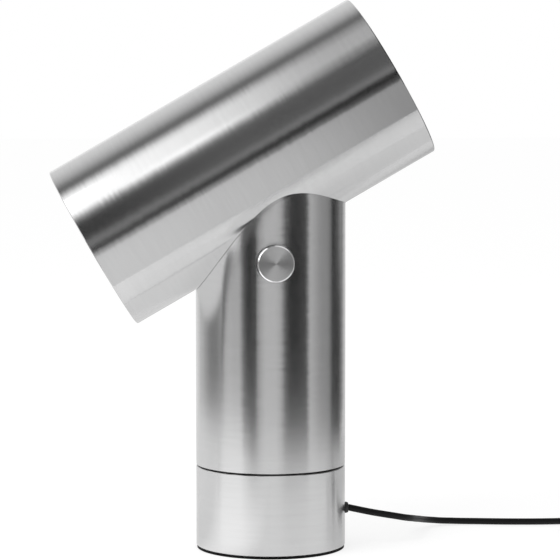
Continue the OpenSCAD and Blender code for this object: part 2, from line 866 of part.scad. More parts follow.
module dimmer_bracket() {
    ear_x = rod_side_x + bracket_ear;
    color([0.62, 0.63, 0.65])
    difference() {
        union() {
            translate([-bracket_half_w, -bracket_face, bracket_z])
                cube([2 * bracket_half_w, bracket_t, bracket_drop + dimmer_r + bracket_over]);
            translate([0, 0, bracket_z]) linear_extrude(bracket_t)
                polygon([
                    [-bracket_half_w, -bracket_face], [bracket_half_w, -bracket_face],
                    [ear_x, -rod_front_y - bracket_ear / 2], [ear_x, bracket_ear - rod_front_y],
                    [-ear_x, bracket_ear - rod_front_y], [-ear_x, -rod_front_y - bracket_ear / 2]
                ]);
        }
        for (side = [-1, 1])
            translate([side * rod_side_x, -rod_front_y, bracket_z - over])
                cylinder(r = m5_r + fit, h = bracket_t + 2 * over);
        in_front() translate([0, 0, bracket_back - over])
            cylinder(r = dimmer_neck_r + fit, h = bracket_t + 2 * over);
    }
}

module bracket_nuts() {
    color([0.72, 0.72, 0.74])
    for (side = [-1, 1], z = [bracket_z - m5_nut_t, bracket_z + bracket_t])
        translate([side * rod_side_x, -rod_front_y, z]) nut(m5_nut_r, m5_r + fit, m5_nut_t);
}

module dimmer_body() {
    color([0.25, 0.3, 0.36])
    in_front() translate([0, 0, dimmer_back]) washer(dimmer_r, shaft_r + fit, dimmer_t);
}

module dimmer_bush() {
    color([0.7, 0.6, 0.35])
    in_front() translate([0, 0, bracket_back])
        washer(dimmer_neck_r, shaft_r + fit, knob_back - bush_gap - bracket_back);
}

module dimmer_nut() {
    color([0.7, 0.7, 0.72])
    in_front() translate([0, 0, bracket_face]) nut(dimmer_nut_r, dimmer_neck_r + fit, dimmer_nut_t);
}

module dimmer_terminals() {
    color([0.75, 0.7, 0.5])
    for (i = [-1 : 1])
        translate([
            i * terminal_pitch - terminal_w / 2, -dimmer_back, knob_h - terminal_drop - terminal_t / 2
        ])
            cube([terminal_w, terminal_len, terminal_t]);
}

// Head

module head_tube() {
    color([0.8, 0.8, 0.81])
    difference() {
        in_head() rotate_extrude()
            polygon([
                [head_in_r, -head_front], [head_r - head_chamfer, -head_front],
                [head_r, head_chamfer - head_front], [head_r, head_rear - head_chamfer],
                [head_r - head_chamfer, head_rear], [head_in_r, head_rear],
                [head_in_r, circlip_z + circlip_t + fit], [groove_r, circlip_z + circlip_t + fit],
                [groove_r, circlip_z - fit], [head_in_r, circlip_z - fit],
                [head_in_r, ring_z + ring_t + fit], [groove_r, ring_z + ring_t + fit],
                [groove_r, ring_z - fit], [head_in_r, ring_z - fit]
            ]);
        in_head() translate([head_in_r - over, 0, wire_z]) rotate([0, 90, 0])
            cylinder(r = wire_hole_r + fit, h = head_wall + 2 * over);
        for (place = rod_places)
            translate([place.x, place.y, foot_top])
                cylinder(r = m5_r + m5_slack, h = seat_top(place) - foot_top);
    }
}

module wire_grommet() {
    flange_in = sqrt(pow(head_in_r, 2) - pow(grommet_flange_r, 2)) - fit;
    color([0.08, 0.08, 0.08])
    in_head() translate([0, 0, wire_z]) rotate([0, 90, 0])
    difference() {
        union() {
            translate([0, 0, flange_in - grommet_flange_t])
                cylinder(r = grommet_flange_r, h = grommet_flange_t);
            translate([0, 0, flange_in - grommet_flange_t / 2])
                cylinder(r = wire_hole_r, h = head_r + grommet_flange_t - flange_in);
            translate([0, 0, head_r + seat_gap]) cylinder(r = grommet_flange_r, h = grommet_flange_t);
        }
        translate([0, 0, flange_in - grommet_flange_t - over])
            cylinder(r = wire_r + fit, h = head_r + seat_gap + 2 * grommet_flange_t - flange_in + 2 * over);
    }
}

module heat_sink() {
    color([0.5, 0.51, 0.53])
    in_head()
    difference() {
        union() {
            translate([0, 0, sink_z]) cylinder(r = head_in_r - slide, h = sink_t);
            for (i = [-fin_pairs : fin_pairs - 1]) {
                y = (i + 1 / 2) * fin_pitch;
                half = sqrt(pow(fin_r, 2) - pow(y, 2));
                translate([-half, y - fin_t / 2, sink_z + sink_t / 2])
                    cube([2 * half, fin_t, sink_t / 2 + fin_h]);
            }
        }
        translate([wire_board_x, 0, sink_z - over]) cylinder(r = wire_r + fit, h = sink_t + 2 * over);
        at_board_screws() translate([0, 0, sink_z - over])
            cylinder(r = m3_r + fit, h = over + sink_t * 4 / 5);
    }
}

// Repeats children at the screws of the light-emitting board
module at_board_screws() {
    for (i = [0 : board_screw_count - 1])
        rotate([0, 0, 45 + 360 * i / board_screw_count]) translate([board_screw_r, 0, 0]) children();
}

module led_board() {
    color([0.95, 0.95, 0.94])
    in_head() translate([0, 0, board_z])
    difference() {
        cylinder(r = board_d / 2, h = board_t);
        at_board_screws() translate([0, 0, -over]) cylinder(r = m3_r + fit, h = board_t + 2 * over);
    }
}

module led_chips() {
    color([0.95, 0.85, 0.3])
    in_head() translate([0, 0, board_z - chip_t]) {
        translate([-chip_side / 2, -chip_side / 2, 0]) cube([chip_side, chip_side, chip_t]);
        for (row = [1 : chip_rings], i = [0 : row * chips_in_ring - 1])
            rotate([0, 0, 360 * i / (row * chips_in_ring)])
                translate([row * chip_ring_r - chip_side / 2, -chip_side / 2, 0])
                    cube([chip_side, chip_side, chip_t]);
    }
}

module board_screws() {
    color([0.7, 0.7, 0.72])
    in_head() translate([0, 0, board_z]) mirror([0, 0, 1])
        at_board_screws() screw(m3_r, board_t + sink_t / 2, m3_head_r, m3_head_t);
}

module reflector() {
    small_r = reflector_small_r;
    big_r = reflector_big_r;
    flange_z = reflector_z + reflector_flange_t;
    color([0.96, 0.96, 0.95])
    in_head() rotate_extrude()
    polygon([
        [small_r, board_z], [big_r, reflector_z], [head_in_r - slide, reflector_z],
        [head_in_r - slide, flange_z], [big_r + reflector_wall / 2, flange_z],
        [small_r + reflector_wall, board_z]
    ]);
}

module diffuser() {
    color([0.97, 0.97, 0.95])
    in_head() translate([0, 0, diffuser_z]) cylinder(r = head_in_r - diffuser_slack, h = diffuser_t);
}

module front_ring() {
    color([0.7, 0.7, 0.72])
    in_head() translate([0, 0, ring_z])
        snap_ring(ring_t);
}

module inner_circlip() {
    color([0.3, 0.3, 0.32])
    in_head() translate([0, 0, circlip_z])
        snap_ring(circlip_t);
}

module rear_cap() {
    cap_r = head_in_r - slide;
    disc_z = cap_face - cap_t;
    seal_depth_r = seal_mid_r - seal_r - fit;
    seal_half = seal_r + seal_slack;
    color([0.76, 0.76, 0.77])
    in_head() rotate_extrude()
    polygon([
        [0, disc_z], [0, cap_face], [cap_r - edge_chamfer, cap_face], [cap_r, cap_face - edge_chamfer],
        [cap_r, seal_z + seal_half], [seal_depth_r, seal_z + seal_half], [seal_depth_r, seal_z - seal_half],
        [cap_r, seal_z - seal_half], [cap_r, disc_z - cap_skirt], [cap_r - cap_skirt_t, disc_z - cap_skirt],
        [cap_r - cap_skirt_t, disc_z]
    ]);
}

module cap_seal() {
    color([0.07, 0.07, 0.07])
    in_head() translate([0, 0, seal_z]) rotate_extrude()
        translate([seal_mid_r, 0]) circle(r = seal_r, $fn = 32);
}

// Knob

module dimmer_knob() {
    color([0.8, 0.8, 0.81])
    difference() {
        in_front() rotate_extrude()
            polygon([
                [knob_socket_r, knob_back], [knob_r - edge_chamfer, knob_back],
                [knob_r, knob_back + edge_chamfer],
                [knob_r, knob_front - knob_chamfer], [knob_r - knob_chamfer, knob_front], [0, knob_front],
                [0, knob_front - knob_skin], [shaft_r + fit, knob_front - knob_skin],
                [shaft_r + fit, knob_back + knob_socket_t], [knob_socket_r, knob_back + knob_socket_t]
            ]);
        translate([0, -grub_y, knob_h - knob_r - over])
            cylinder(r = m3_r + fit, h = knob_r - shaft_r / 2 + over);
    }
}

module dimmer_shaft() {
    color([0.68, 0.68, 0.7])
    in_front() translate([0, 0, dimmer_back + bush_gap])
        cylinder(r = shaft_r, h = shaft_end - dimmer_back - bush_gap);
}

module knob_grub_screw() {
    length = knob_r - grub_tip - shaft_r - fit;
    color([0.3, 0.3, 0.31])
    translate([0, -grub_y, knob_h - knob_r + grub_tip])
    difference() {
        cylinder(r = m3_r, h = length);
        translate([0, 0, -over]) cylinder(r = m3_r / 2, h = over + length / 4, $fn = 6);
    }
}

foot_pad();
bottom_plate();
base_screws();
base_weight();
base_shell();
spindle_bush();
thrust_washer();
cord_gland();
gland_nut();
cord_clamp();
clamp_screws();
mains_lead_base();
power_cord();
cord_coil();
cord_tail();
plug_body();
plug_pins();
column_tube();
column_foot();
swivel_spindle();
friction_washer();
swivel_nut();
stop_pin();
tie_rods();
rod_seats();
rod_nuts();
driver_bracket();
driver_case();
driver_screws();
mains_lead_column();
led_lead();
dimmer_lead();
dimmer_bracket();
bracket_nuts();
dimmer_body();
dimmer_bush();
dimmer_nut();
dimmer_terminals();
head_tube();
wire_grommet();
heat_sink();
led_board();
led_chips();
board_screws();
reflector();
diffuser();
front_ring();
inner_circlip();
rear_cap();
cap_seal();
dimmer_knob();
dimmer_shaft();
knob_grub_screw();
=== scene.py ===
import math

import bmesh
import bpy
import numpy as np
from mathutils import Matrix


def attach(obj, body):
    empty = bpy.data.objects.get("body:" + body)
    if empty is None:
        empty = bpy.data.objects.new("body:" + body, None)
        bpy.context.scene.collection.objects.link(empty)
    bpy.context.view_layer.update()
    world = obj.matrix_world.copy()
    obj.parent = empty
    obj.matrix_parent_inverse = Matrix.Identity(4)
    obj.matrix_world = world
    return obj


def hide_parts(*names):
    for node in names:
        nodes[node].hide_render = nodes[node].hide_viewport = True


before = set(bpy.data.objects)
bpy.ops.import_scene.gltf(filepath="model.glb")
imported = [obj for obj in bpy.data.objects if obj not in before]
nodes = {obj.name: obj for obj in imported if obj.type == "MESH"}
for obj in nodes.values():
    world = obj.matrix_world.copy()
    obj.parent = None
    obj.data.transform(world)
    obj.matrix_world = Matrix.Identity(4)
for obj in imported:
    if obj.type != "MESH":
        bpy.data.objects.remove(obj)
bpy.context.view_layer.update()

# Camera
# A long lens two metres from the lamp, a little left of square to the head and
# looking down by five degrees, as the product picture was taken.
looks_down = 0.0872
looks_right = 0.0662
lens_data = bpy.data.cameras.new("camera")
lens_data.lens = 171.63
lens_data.sensor_width = 36
lens_data.clip_start = 0.05
lens_data.clip_end = 30
camera = bpy.data.objects.new("camera", lens_data)
camera.location = (-0.12461, -1.98551, 0.37507)
camera.rotation_euler = (math.pi / 2 - looks_down, 0, -looks_right)
bpy.context.scene.collection.objects.link(camera)
bpy.context.scene.camera = camera
bpy.context.scene.view_settings.view_transform = "Standard"

# Mains cord
# A round two-core flex, 5 mm across, with a black PVC sheath. It leaves the gland, sinks to the
# table, runs off to the side and is wound up there into a coil of eight and a half turns.
millimetre = 0.001
cord_d = 5.0
gland_exit = [58.6, 0, 28.6]
cord_run = [
    [67.6, 0, 26.6], [76.6, 0, 24.7], [85.6, 0.5, 23], [94.1, 3.4, 21.1], [101.4, 8.6, 19],
    [106.9, 15.6, 17.1], [110.3, 23.9, 15.4], [113.1, 32.5, 13.6], [116, 41.5, 11.8], [119, 50.6, 10],
    [122, 59.6, 8.1], [126.2, 66.9, 6.5], [132.1, 73, 5], [139.3, 77.5, 3.7], [147.4, 80, 3],
    [155.8, 80.5, 2.6], [168, 79.5, 2.5], [180, 77.7, 2.5], [192, 76.2, 2.5], [204, 75.2, 2.5],
    [216, 74.7, 2.5], [228, 74.9, 2.5], [240, 75.8, 2.5], [252, 77.2, 2.5], [263, 78.6, 2.5],
]
cord_tail = [
    [262, 11, 18.8], [252, 11, 18.3], [245.2, 9.9, 18], [239.1, 6.8, 17.2], [234.2, 1.9, 16],
    [231.1, -4.2, 14.4], [230, -11, 12.7], [231.1, -17.8, 10.9], [234.2, -23.9, 9.3], [239.1, -28.8, 8.1],
    [245.2, -31.9, 7.3],
]
coil_middle = (278.0, 45.0)
coil_r = 34.0
coil_pitch = 5.5
coil_layers = 4
coil_turns = 8.5
turns_in_layer = coil_turns / coil_layers
points_in_turn = 24
plug_front = 311.0
plug_y = -33.0
plug_len = 37.0
plug_t = 13.7
relief_len = 20.0
plug_entry = np.array([plug_front - plug_len - relief_len, plug_y, plug_t / 2])
cord_in_plug = 2.0


def smooth_step(share):
    """Goes from 0 to 1 with no corner at either end: three times the share's square, less twice its cube."""
    return share * share * (3 - 2 * share)


def coil_line(turn):
    """Points of the coil's centreline, at these counts of turns from its start: the radius falls and rises
    by a pitch in each turn, and the height climbs by a pitch in the half turn round each reversal, on a
    smooth step."""
    layer = np.minimum(np.floor(turn / turns_in_layer), coil_layers - 1)
    part = turn - layer * turns_in_layer
    radius = coil_r - coil_pitch * np.where(layer % 2 == 0, part, turns_in_layer - part)
    near = np.clip(np.round(turn / turns_in_layer), 1, coil_layers - 1)
    climb = np.clip((turn - near * turns_in_layer) * 2 + 0.5, 0, 1)
    height = cord_d / 2 + coil_pitch * (near - 1 + smooth_step(climb))
    angle = math.pi / 2 - 2 * math.pi * turn
    across = coil_middle[0] + radius * np.cos(angle)
    back = coil_middle[1] + radius * np.sin(angle)
    return np.stack([across, back, height], -1)


# One point stands a cord's width beside each end of the coil, so that the line enters and leaves it straight.
coil_points = coil_line(np.linspace(0, coil_turns, int(coil_turns * points_in_turn) + 1))
before_coil = coil_points[0] - [cord_d, 0, 0]
after_coil = coil_points[-1] - [cord_d, 0, 0]
cord_points = millimetre * np.vstack([
    gland_exit, cord_run, before_coil, coil_points, after_coil, cord_tail,
    plug_entry, plug_entry + [cord_in_plug, 0, 0],
])


def smooth_cord(name, points, diameter):
    """Curve of one open spline through the points. Each handle is a sixth of the step between a point's two
    neighbours, so the line turns evenly at every point."""
    data = bpy.data.curves.new(name, "CURVE")
    data.dimensions = "3D"
    data.resolution_u = 4
    data.bevel_depth = diameter / 2
    data.bevel_resolution = 5
    data.use_fill_caps = True
    spline = data.splines.new("BEZIER")
    spline.bezier_points.add(len(points) - 1)
    pull = np.gradient(points, axis=0) / 3
    spline.bezier_points.foreach_set("co", points.ravel())
    spline.bezier_points.foreach_set("handle_left", (points - pull).ravel())
    spline.bezier_points.foreach_set("handle_right", (points + pull).ravel())
    piece = bpy.data.objects.new(name, data)
    bpy.context.scene.collection.objects.link(piece)
    return piece


mains_cord = smooth_cord("mains_cord", cord_points, cord_d * millimetre)


def put(tree, kind, inputs=None, **settings):
    """Adds a node to a tree, with its settings, and with sockets that are either joined or given a value.
    Hands back the node's outputs."""
    made = tree.nodes.new(kind)
    for setting, value in settings.items():
        setattr(made, setting, value)
    for socket, value in (inputs or {}).items():
        if isinstance(value, bpy.types.NodeSocket):
            tree.links.new(value, made.inputs[socket])
        else:
            made.inputs[socket].default_value = value
    return made.outputs


def maths(tree, operation, *values):
    """Number that one Math node works out from these numbers or sockets."""
    return put(tree, "ShaderNodeMath", dict(enumerate(values)), operation=operation)[0]


def vectors(tree, operation, *values):
    """What one Vector Math node works out from these vectors or sockets: a number where it is a length or
    a distance, and otherwise a vector."""
    result = "Value" if operation in ("LENGTH", "DISTANCE") else "Vector"
    return put(tree, "ShaderNodeVectorMath", dict(enumerate(values)), operation=operation)[result]


def noise(tree, place, scale, detail):
    """Smooth noise about one half at this place, with this scale and this many finer layers on it."""
    return put(tree, "ShaderNodeTexNoise", {"Vector": place, "Scale": scale, "Detail": detail})[0]


class Finish:
    """One node material: its tree, its Principled shader, and short ways to add and join nodes."""

    def __init__(self, name, colour, roughness, metallic=0.0, **sockets):
        self.material = bpy.data.materials.new(name)
        self.material.use_nodes = True
        self.tree = self.material.node_tree
        self.shader = self.tree.nodes["Principled BSDF"]
        self.set("Base Color", (*colour, 1))
        self.set("Roughness", roughness)
        self.set("Metallic", metallic)
        for socket, value in sockets.items():
            self.set(socket.replace("_", " "), value)
        self.spot = self.add("ShaderNodeTexCoord")["Object"]

    def set(self, socket, value):
        self.shader.inputs[socket].default_value = value

    def feed(self, socket, output):
        self.tree.links.new(output, self.shader.inputs[socket])

    def add(self, kind, inputs=None, **settings):
        return put(self.tree, kind, inputs, **settings)

    def maths(self, operation, *values):
        return maths(self.tree, operation, *values)

    def vectors(self, operation, *values):
        return vectors(self.tree, operation, *values)

    def group(self, effect, **inputs):
        named = {label.replace("_", " "): value for label, value in inputs.items()}
        return self.add("ShaderNodeGroup", named, node_tree=effect)

    def blend(self, mask, dark, light):
        """Colour that runs from dark to light as the mask goes from 0 to 1. Either may be a socket."""
        ends = [end if isinstance(end, bpy.types.NodeSocket) else (*end, 1) for end in (dark, light)]
        return self.add("ShaderNodeMix", {0: mask, 6: ends[0], 7: ends[1]}, data_type="RGBA")[2]

    def span(self, mask, low, high):
        """Number that runs from low to high as the mask goes from 0 to 1."""
        return self.add("ShaderNodeMapRange", {0: mask, 3: low, 4: high})[0]

    def bump(self, height, strength, depth, **normal):
        """Feeds the shader's normal with a relief of this depth in metres, laid on a given normal if any."""
        relief = {"Height": height, "Strength": strength, "Distance": depth, **normal}
        self.feed("Normal", self.add("ShaderNodeBump", relief)[0])


def new_effect(name, inputs, outputs):
    """Shader node group with these named inputs, each with its kind and default, and these named outputs,
    which are values."""
    effect = bpy.data.node_groups.new(name, "ShaderNodeTree")
    for label, (kind, value) in inputs.items():
        socket = effect.interface.new_socket(label, in_out="INPUT", socket_type="NodeSocket" + kind)
        if value is not None:
            socket.default_value = value
    for label in outputs:
        effect.interface.new_socket(label, in_out="OUTPUT", socket_type="NodeSocketFloat")
    start = effect.nodes.new("NodeGroupInput")
    end = effect.nodes.new("NodeGroupOutput")
    return effect, start.outputs, end.inputs


# Moulded grain: a fine pebbled height of the given grain size, and a slow drift of tone across the part.
drift_per_metre = 35.0
moulded_grain, taken, given = new_effect(
    "moulded_grain", {"Position": ("Vector", None), "Grain": ("Float", 0.0004)}, ["Height", "Tone"]
)
grains_per_metre = maths(moulded_grain, "DIVIDE", 1.0, taken["Grain"])
pebbles = noise(moulded_grain, taken["Position"], grains_per_metre, 3.0)
tone = noise(moulded_grain, taken["Position"], drift_per_metre, 3.0)
moulded_grain.links.new(pebbles, given["Height"])
moulded_grain.links.new(tone, given["Tone"])

shine_drift = 0.06
grain_strength = 0.5


def grey(level):
    """Colour with the same level of red, green and blue."""
    return (level, level, level)


def moulded(name, dark, light, roughness, grain, depth, **sockets):
    """Moulded or cast finish: colour and roughness drift a little, and a fine grain breaks up the shine."""
    finish = Finish(name, light, roughness, **sockets)
    surface = finish.group(moulded_grain, Position=finish.spot, Grain=grain)
    finish.feed("Base Color", finish.blend(surface["Tone"], dark, light))
    finish.feed("Roughness", finish.span(surface["Tone"], roughness - shine_drift, roughness + shine_drift))
    finish.bump(surface["Height"], grain_strength, depth)
    return finish


def dress(finish, *names):
    """Gives these CAD nodes the finish."""
    for name in names:
        for place in nodes[name].material_slots:
            place.material = finish.material


sheath = moulded(
    "cord_sheath", grey(0.003), grey(0.005), roughness=0.55, grain=0.0006, depth=0.00004,
    Specular_IOR_Level=0.22,
)
mains_cord.data.materials.append(sheath.material)
dress(sheath, "power_cord", "cord_coil", "cord_tail", "mains_lead_base", "mains_lead_column")

# Plug
# The flat two-pin plug moulded onto the end of the cord, in black PVC, with grip ribs on
# its narrowing rear, a ringed strain relief, and nickel-plated pins that are half sleeved.
plug_half_w = 17.65
plug_rear_half_w = 7.0
plug_thins = 1.2
plug_parallel = 14.0
plug_round = 1.2
plug_power = 0.5
plug_rear_power = 0.75
grip_start = 17.0
grip_len = 12.0
grip_pitch = 3.0
grip_depth = 0.45
relief_end = plug_len + relief_len
relief_r = 4.8
relief_tip_r = 3.6
relief_rings = 6
points_in_ring = 10
ring_depth = 0.55
same_point = 1e-7
crease = math.radians(40)


def woven(name, points, shut_rows=False, shut_columns=True):
    """Mesh over a grid of points: each face joins two neighbouring rows and columns, and shut ones join up
    round."""
    rows, columns = points.shape[:2]
    index = np.arange(rows * columns).reshape(rows, columns)
    index = np.vstack([index, index[:1]]) if shut_rows else index
    index = np.hstack([index, index[:, :1]]) if shut_columns else index
    corners = [index[:-1, :-1], index[:-1, 1:], index[1:, 1:], index[1:, :-1]]
    quads = np.stack(corners, -1).reshape(-1, 4)
    mesh = bpy.data.meshes.new(name)
    mesh.from_pydata(points.reshape(-1, 3).tolist(), [], quads.tolist())
    shell = bmesh.new()
    shell.from_mesh(mesh)
    bmesh.ops.remove_doubles(shell, verts=shell.verts, dist=same_point)
    bmesh.ops.recalc_face_normals(shell, faces=shell.faces)
    shell.to_mesh(mesh)
    shell.free()
    mesh.shade_smooth()
    mesh.set_sharp_from_angle(angle=crease)
    piece = bpy.data.objects.new(name, mesh)
    bpy.context.scene.collection.objects.link(piece)
    return piece


def signed_power(value, power):
    """The value's size raised to this power, with its own sign."""
    return np.sign(value) * np.abs(value) ** power


def plug_surface(columns=72):
    """Loft along the plug, at distances back from its front face. The section is a flattened oval: half its
    width and height times a cosine and a sine raised to the plug's power. It narrows to the rear on a smooth
    step and turns into the round relief, whose radius falls evenly and dips at each ring."""
    body = [0, 0, 0.25, 0.7, 1.2, 3, 6, 9, 12, 14, *np.arange(15, 33.1, 0.5), 34, 35, 36, plug_len]
    rings = np.linspace(plug_len, relief_end, relief_rings * points_in_ring + 1)[1:]
    back = np.concatenate([body, rings, [relief_end]])
    narrowing = smooth_step(np.clip((back - plug_parallel) / (plug_len - plug_parallel), 0, 1))
    on_grip = np.sin(np.pi * np.clip((back - grip_start) / grip_len, 0, 1)) ** 0.5
    rib = (1 + np.cos(2 * np.pi * (back - grip_start) / grip_pitch)) / 2
    edge = plug_round - np.sqrt(np.maximum(plug_round**2 - np.maximum(plug_round - back, 0) ** 2, 0))
    half_w = plug_half_w + (plug_rear_half_w - plug_half_w) * narrowing - grip_depth * on_grip * rib - edge
    half_t = plug_t / 2 - plug_thins * narrowing - edge
    along = np.clip((back - plug_len) / relief_len, 0, 1)
    ring = ring_depth * (1 - np.cos(2 * np.pi * relief_rings * along)) / 2
    relief = relief_r + (relief_tip_r - relief_r) * along - ring
    on_relief = back > plug_len
    half_w = np.where(on_relief, relief, half_w)
    half_t = np.where(on_relief, relief, half_t)
    half_w[[0, -1]] = half_t[[0, -1]] = 0
    power = np.where(on_relief, 1.0, plug_power + (plug_rear_power - plug_power) * narrowing)[:, None]
    turn = np.linspace(0, 2 * math.pi, columns, endpoint=False)[None, :]
    across = half_w[:, None] * signed_power(np.cos(turn), power)
    up = half_t[:, None] * signed_power(np.sin(turn), power)
    x = plug_front - back[:, None] + 0 * turn
    return millimetre * np.stack([x, plug_y + across, plug_t / 2 + up], -1)


plug = woven("plug", plug_surface())
black_pvc = moulded("black_pvc", grey(0.010), grey(0.018), roughness=0.5, grain=0.0005, depth=0.00005)
plug.data.materials.append(black_pvc.material)
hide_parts("plug_body")
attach(plug, "base")
dress(black_pvc, "plug_body")

sleeve_end = 0.321
pin_finish = Finish("sleeved_pins", (0.7, 0.68, 0.62), 0.22)
along_pin = pin_finish.add("ShaderNodeSeparateXYZ", {0: pin_finish.spot})[0]
plated = pin_finish.maths("GREATER_THAN", along_pin, sleeve_end)
wear = pin_finish.group(moulded_grain, Position=pin_finish.spot, Grain=0.0008)
pin_finish.feed("Metallic", plated)
pin_finish.feed("Base Color", pin_finish.blend(plated, grey(0.012), (0.66, 0.64, 0.58)))
pin_finish.feed("Roughness", pin_finish.span(wear["Tone"], 0.16, 0.5))
dress(pin_finish, "plug_pins")

# Cord tie
# A black hook-and-loop strap, 8 mm wide and under a millimetre thick, drawn round the
# side of the coil that faces away from the plug, with its free end lapped over the top.
tie_w = 8.0
tie_t = 0.7
tie_angle = math.radians(25)
tie_in_r = 19.2
tie_out_r = 37.2
tie_top = 22.4
tie_corner_power = 0.32
tie_start = -0.5 * math.pi
tie_end = 1.72 * math.pi
lap_start = 1.35 * math.pi
lap_run = 0.12 * math.pi
lap_rise = 1.05 * tie_t


def tie_surface():
    """Strap carried round a rounded rectangle that stands across the coil. The line is a ring whose cosine
    and sine are raised to the corner power, and it rises by a strap's thickness where the end laps over."""
    turn = np.linspace(tie_start, tie_end, 120)
    lap = lap_rise * smooth_step(np.clip((turn - lap_start) / lap_run, 0, 1))
    middle_r = (tie_in_r + tie_out_r) / 2
    half_r = (tie_out_r - tie_in_r) / 2
    half_h = tie_top / 2 - tie_t / 2
    angle = turn + math.pi
    radius = middle_r + (half_r + lap) * signed_power(np.cos(angle), tie_corner_power)
    height = tie_top / 2 + (half_h + lap) * signed_power(np.sin(angle), tie_corner_power)
    line = np.stack([radius, height], -1)
    run = np.gradient(line, axis=0)
    run /= np.linalg.norm(run, axis=1, keepdims=True)
    normal = np.stack([-run[:, 1], run[:, 0]], -1)
    corners = np.array([[-1, -1], [1, -1], [1, 1], [-1, 1], [-1, -1]])
    flat = line[:, None, :] + normal[:, None, :] * corners[None, :, :1] * tie_t / 2
    across = 0 * flat[:, :, 0] + corners[None, :, 1] * tie_w / 2
    flat[[0, -1]] = flat[[0, -1]].mean(axis=1, keepdims=True)
    across[[0, -1]] = 0
    out_x, out_y = math.cos(tie_angle), math.sin(tie_angle)
    x = coil_middle[0] + flat[:, :, 0] * out_x - across * out_y
    y = coil_middle[1] + flat[:, :, 0] * out_y + across * out_x
    return millimetre * np.stack([x, y, np.maximum(flat[:, :, 1], 0)], -1)


tie = woven("cord_tie", tie_surface(), shut_columns=False)
hook_and_loop = moulded(
    "hook_and_loop", (0.012, 0.012, 0.013), (0.03, 0.03, 0.032), roughness=0.9, grain=0.0003, depth=0.0002,
    Sheen_Weight=0.3,
)
tie.data.materials.append(hook_and_loop.material)
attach(tie, "base")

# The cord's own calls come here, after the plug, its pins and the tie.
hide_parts("power_cord", "cord_coil", "cord_tail")
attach(mains_cord, "base")

# Base
# A turned and brushed aluminium cup, clear anodised. A cast iron weight fills it, a zinced
# plate closes it from below, and three screws through the rubber pad hold the stack.


# Turned lines: fine rings cut by the lathe. They follow height plus radius, so they go on across a rim from
# the side to the face, and each ring is broken into short strokes by a slow change round the axis.
turned_lines, taken, given = new_effect(
    "turned_lines",
    {"Position": ("Vector", None), "Lines per metre": ("Float", 1500.0), "Breaks per metre": ("Float", 30.0)},
    ["Lines", "Film", "Sway"],
)
part = put(turned_lines, "ShaderNodeSeparateXYZ", {0: taken["Position"]})
flat_part = put(turned_lines, "ShaderNodeCombineXYZ", {0: part[0], 1: part[1]})[0]
travel = maths(turned_lines, "ADD", part[2], vectors(turned_lines, "LENGTH", flat_part))
break_x = maths(turned_lines, "MULTIPLY", part[0], taken["Breaks per metre"])
break_y = maths(turned_lines, "MULTIPLY", part[1], taken["Breaks per metre"])
coarse_share = 0.22
fine_share = 1.0
sway_share = 0.7
sway_offset = (3.7, 8.1, 5.3)
film_per_metre = 14.0


def stroke_place(share):
    """Place in the noise for strokes with this share of the lines: it moves fast across the rings, and slowly
    along them."""
    pitch = maths(turned_lines, "MULTIPLY", taken["Lines per metre"], share)
    cut = maths(turned_lines, "MULTIPLY", travel, pitch)
    return put(turned_lines, "ShaderNodeCombineXYZ", {0: break_x, 1: break_y, 2: cut})[0]


coarse = noise(turned_lines, stroke_place(coarse_share), 1.0, 3.0)
fine = noise(turned_lines, stroke_place(fine_share), 1.0, 3.0)
stroke_sum = maths(turned_lines, "ADD", coarse, fine)
film = noise(turned_lines, taken["Position"], film_per_metre, 4.0)
aside = vectors(turned_lines, "ADD", stroke_place(sway_share), sway_offset)
turned_lines.links.new(maths(turned_lines, "MULTIPLY", stroke_sum, 0.5), given["Lines"])
turned_lines.links.new(film, given["Film"])
turned_lines.links.new(noise(turned_lines, aside, 1.0, 2.0), given["Sway"])

# Rim polish: 1 on the two turned rims at the given heights, falling to 0 over the width beside them.
rim_polish, taken, given = new_effect(
    "rim_polish",
    {
        "Position": ("Vector", None), "First rim": ("Float", 0.0), "Second rim": ("Float", 0.0),
        "Width": ("Float", 0.001),
    },
    ["Mask"],
)
height = put(rim_polish, "ShaderNodeSeparateXYZ", {0: taken["Position"]})[2]
gaps = [
    maths(rim_polish, "ABSOLUTE", maths(rim_polish, "SUBTRACT", height, taken[rim]))
    for rim in ("First rim", "Second rim")
]
nearest = maths(rim_polish, "MINIMUM", *gaps)
fall = put(
    rim_polish, "ShaderNodeMapRange", {0: nearest, 2: taken["Width"], 3: 1.0, 4: 0.0},
    interpolation_type="SMOOTHSTEP",
)[0]
rim_polish.links.new(fall, given["Mask"])

edge_tint = (*grey(0.85), 1)
line_drift = 0.06
film_drift = 0.02
line_strength = 0.3
rim_w = 0.0012
rim_smoother = 0.06


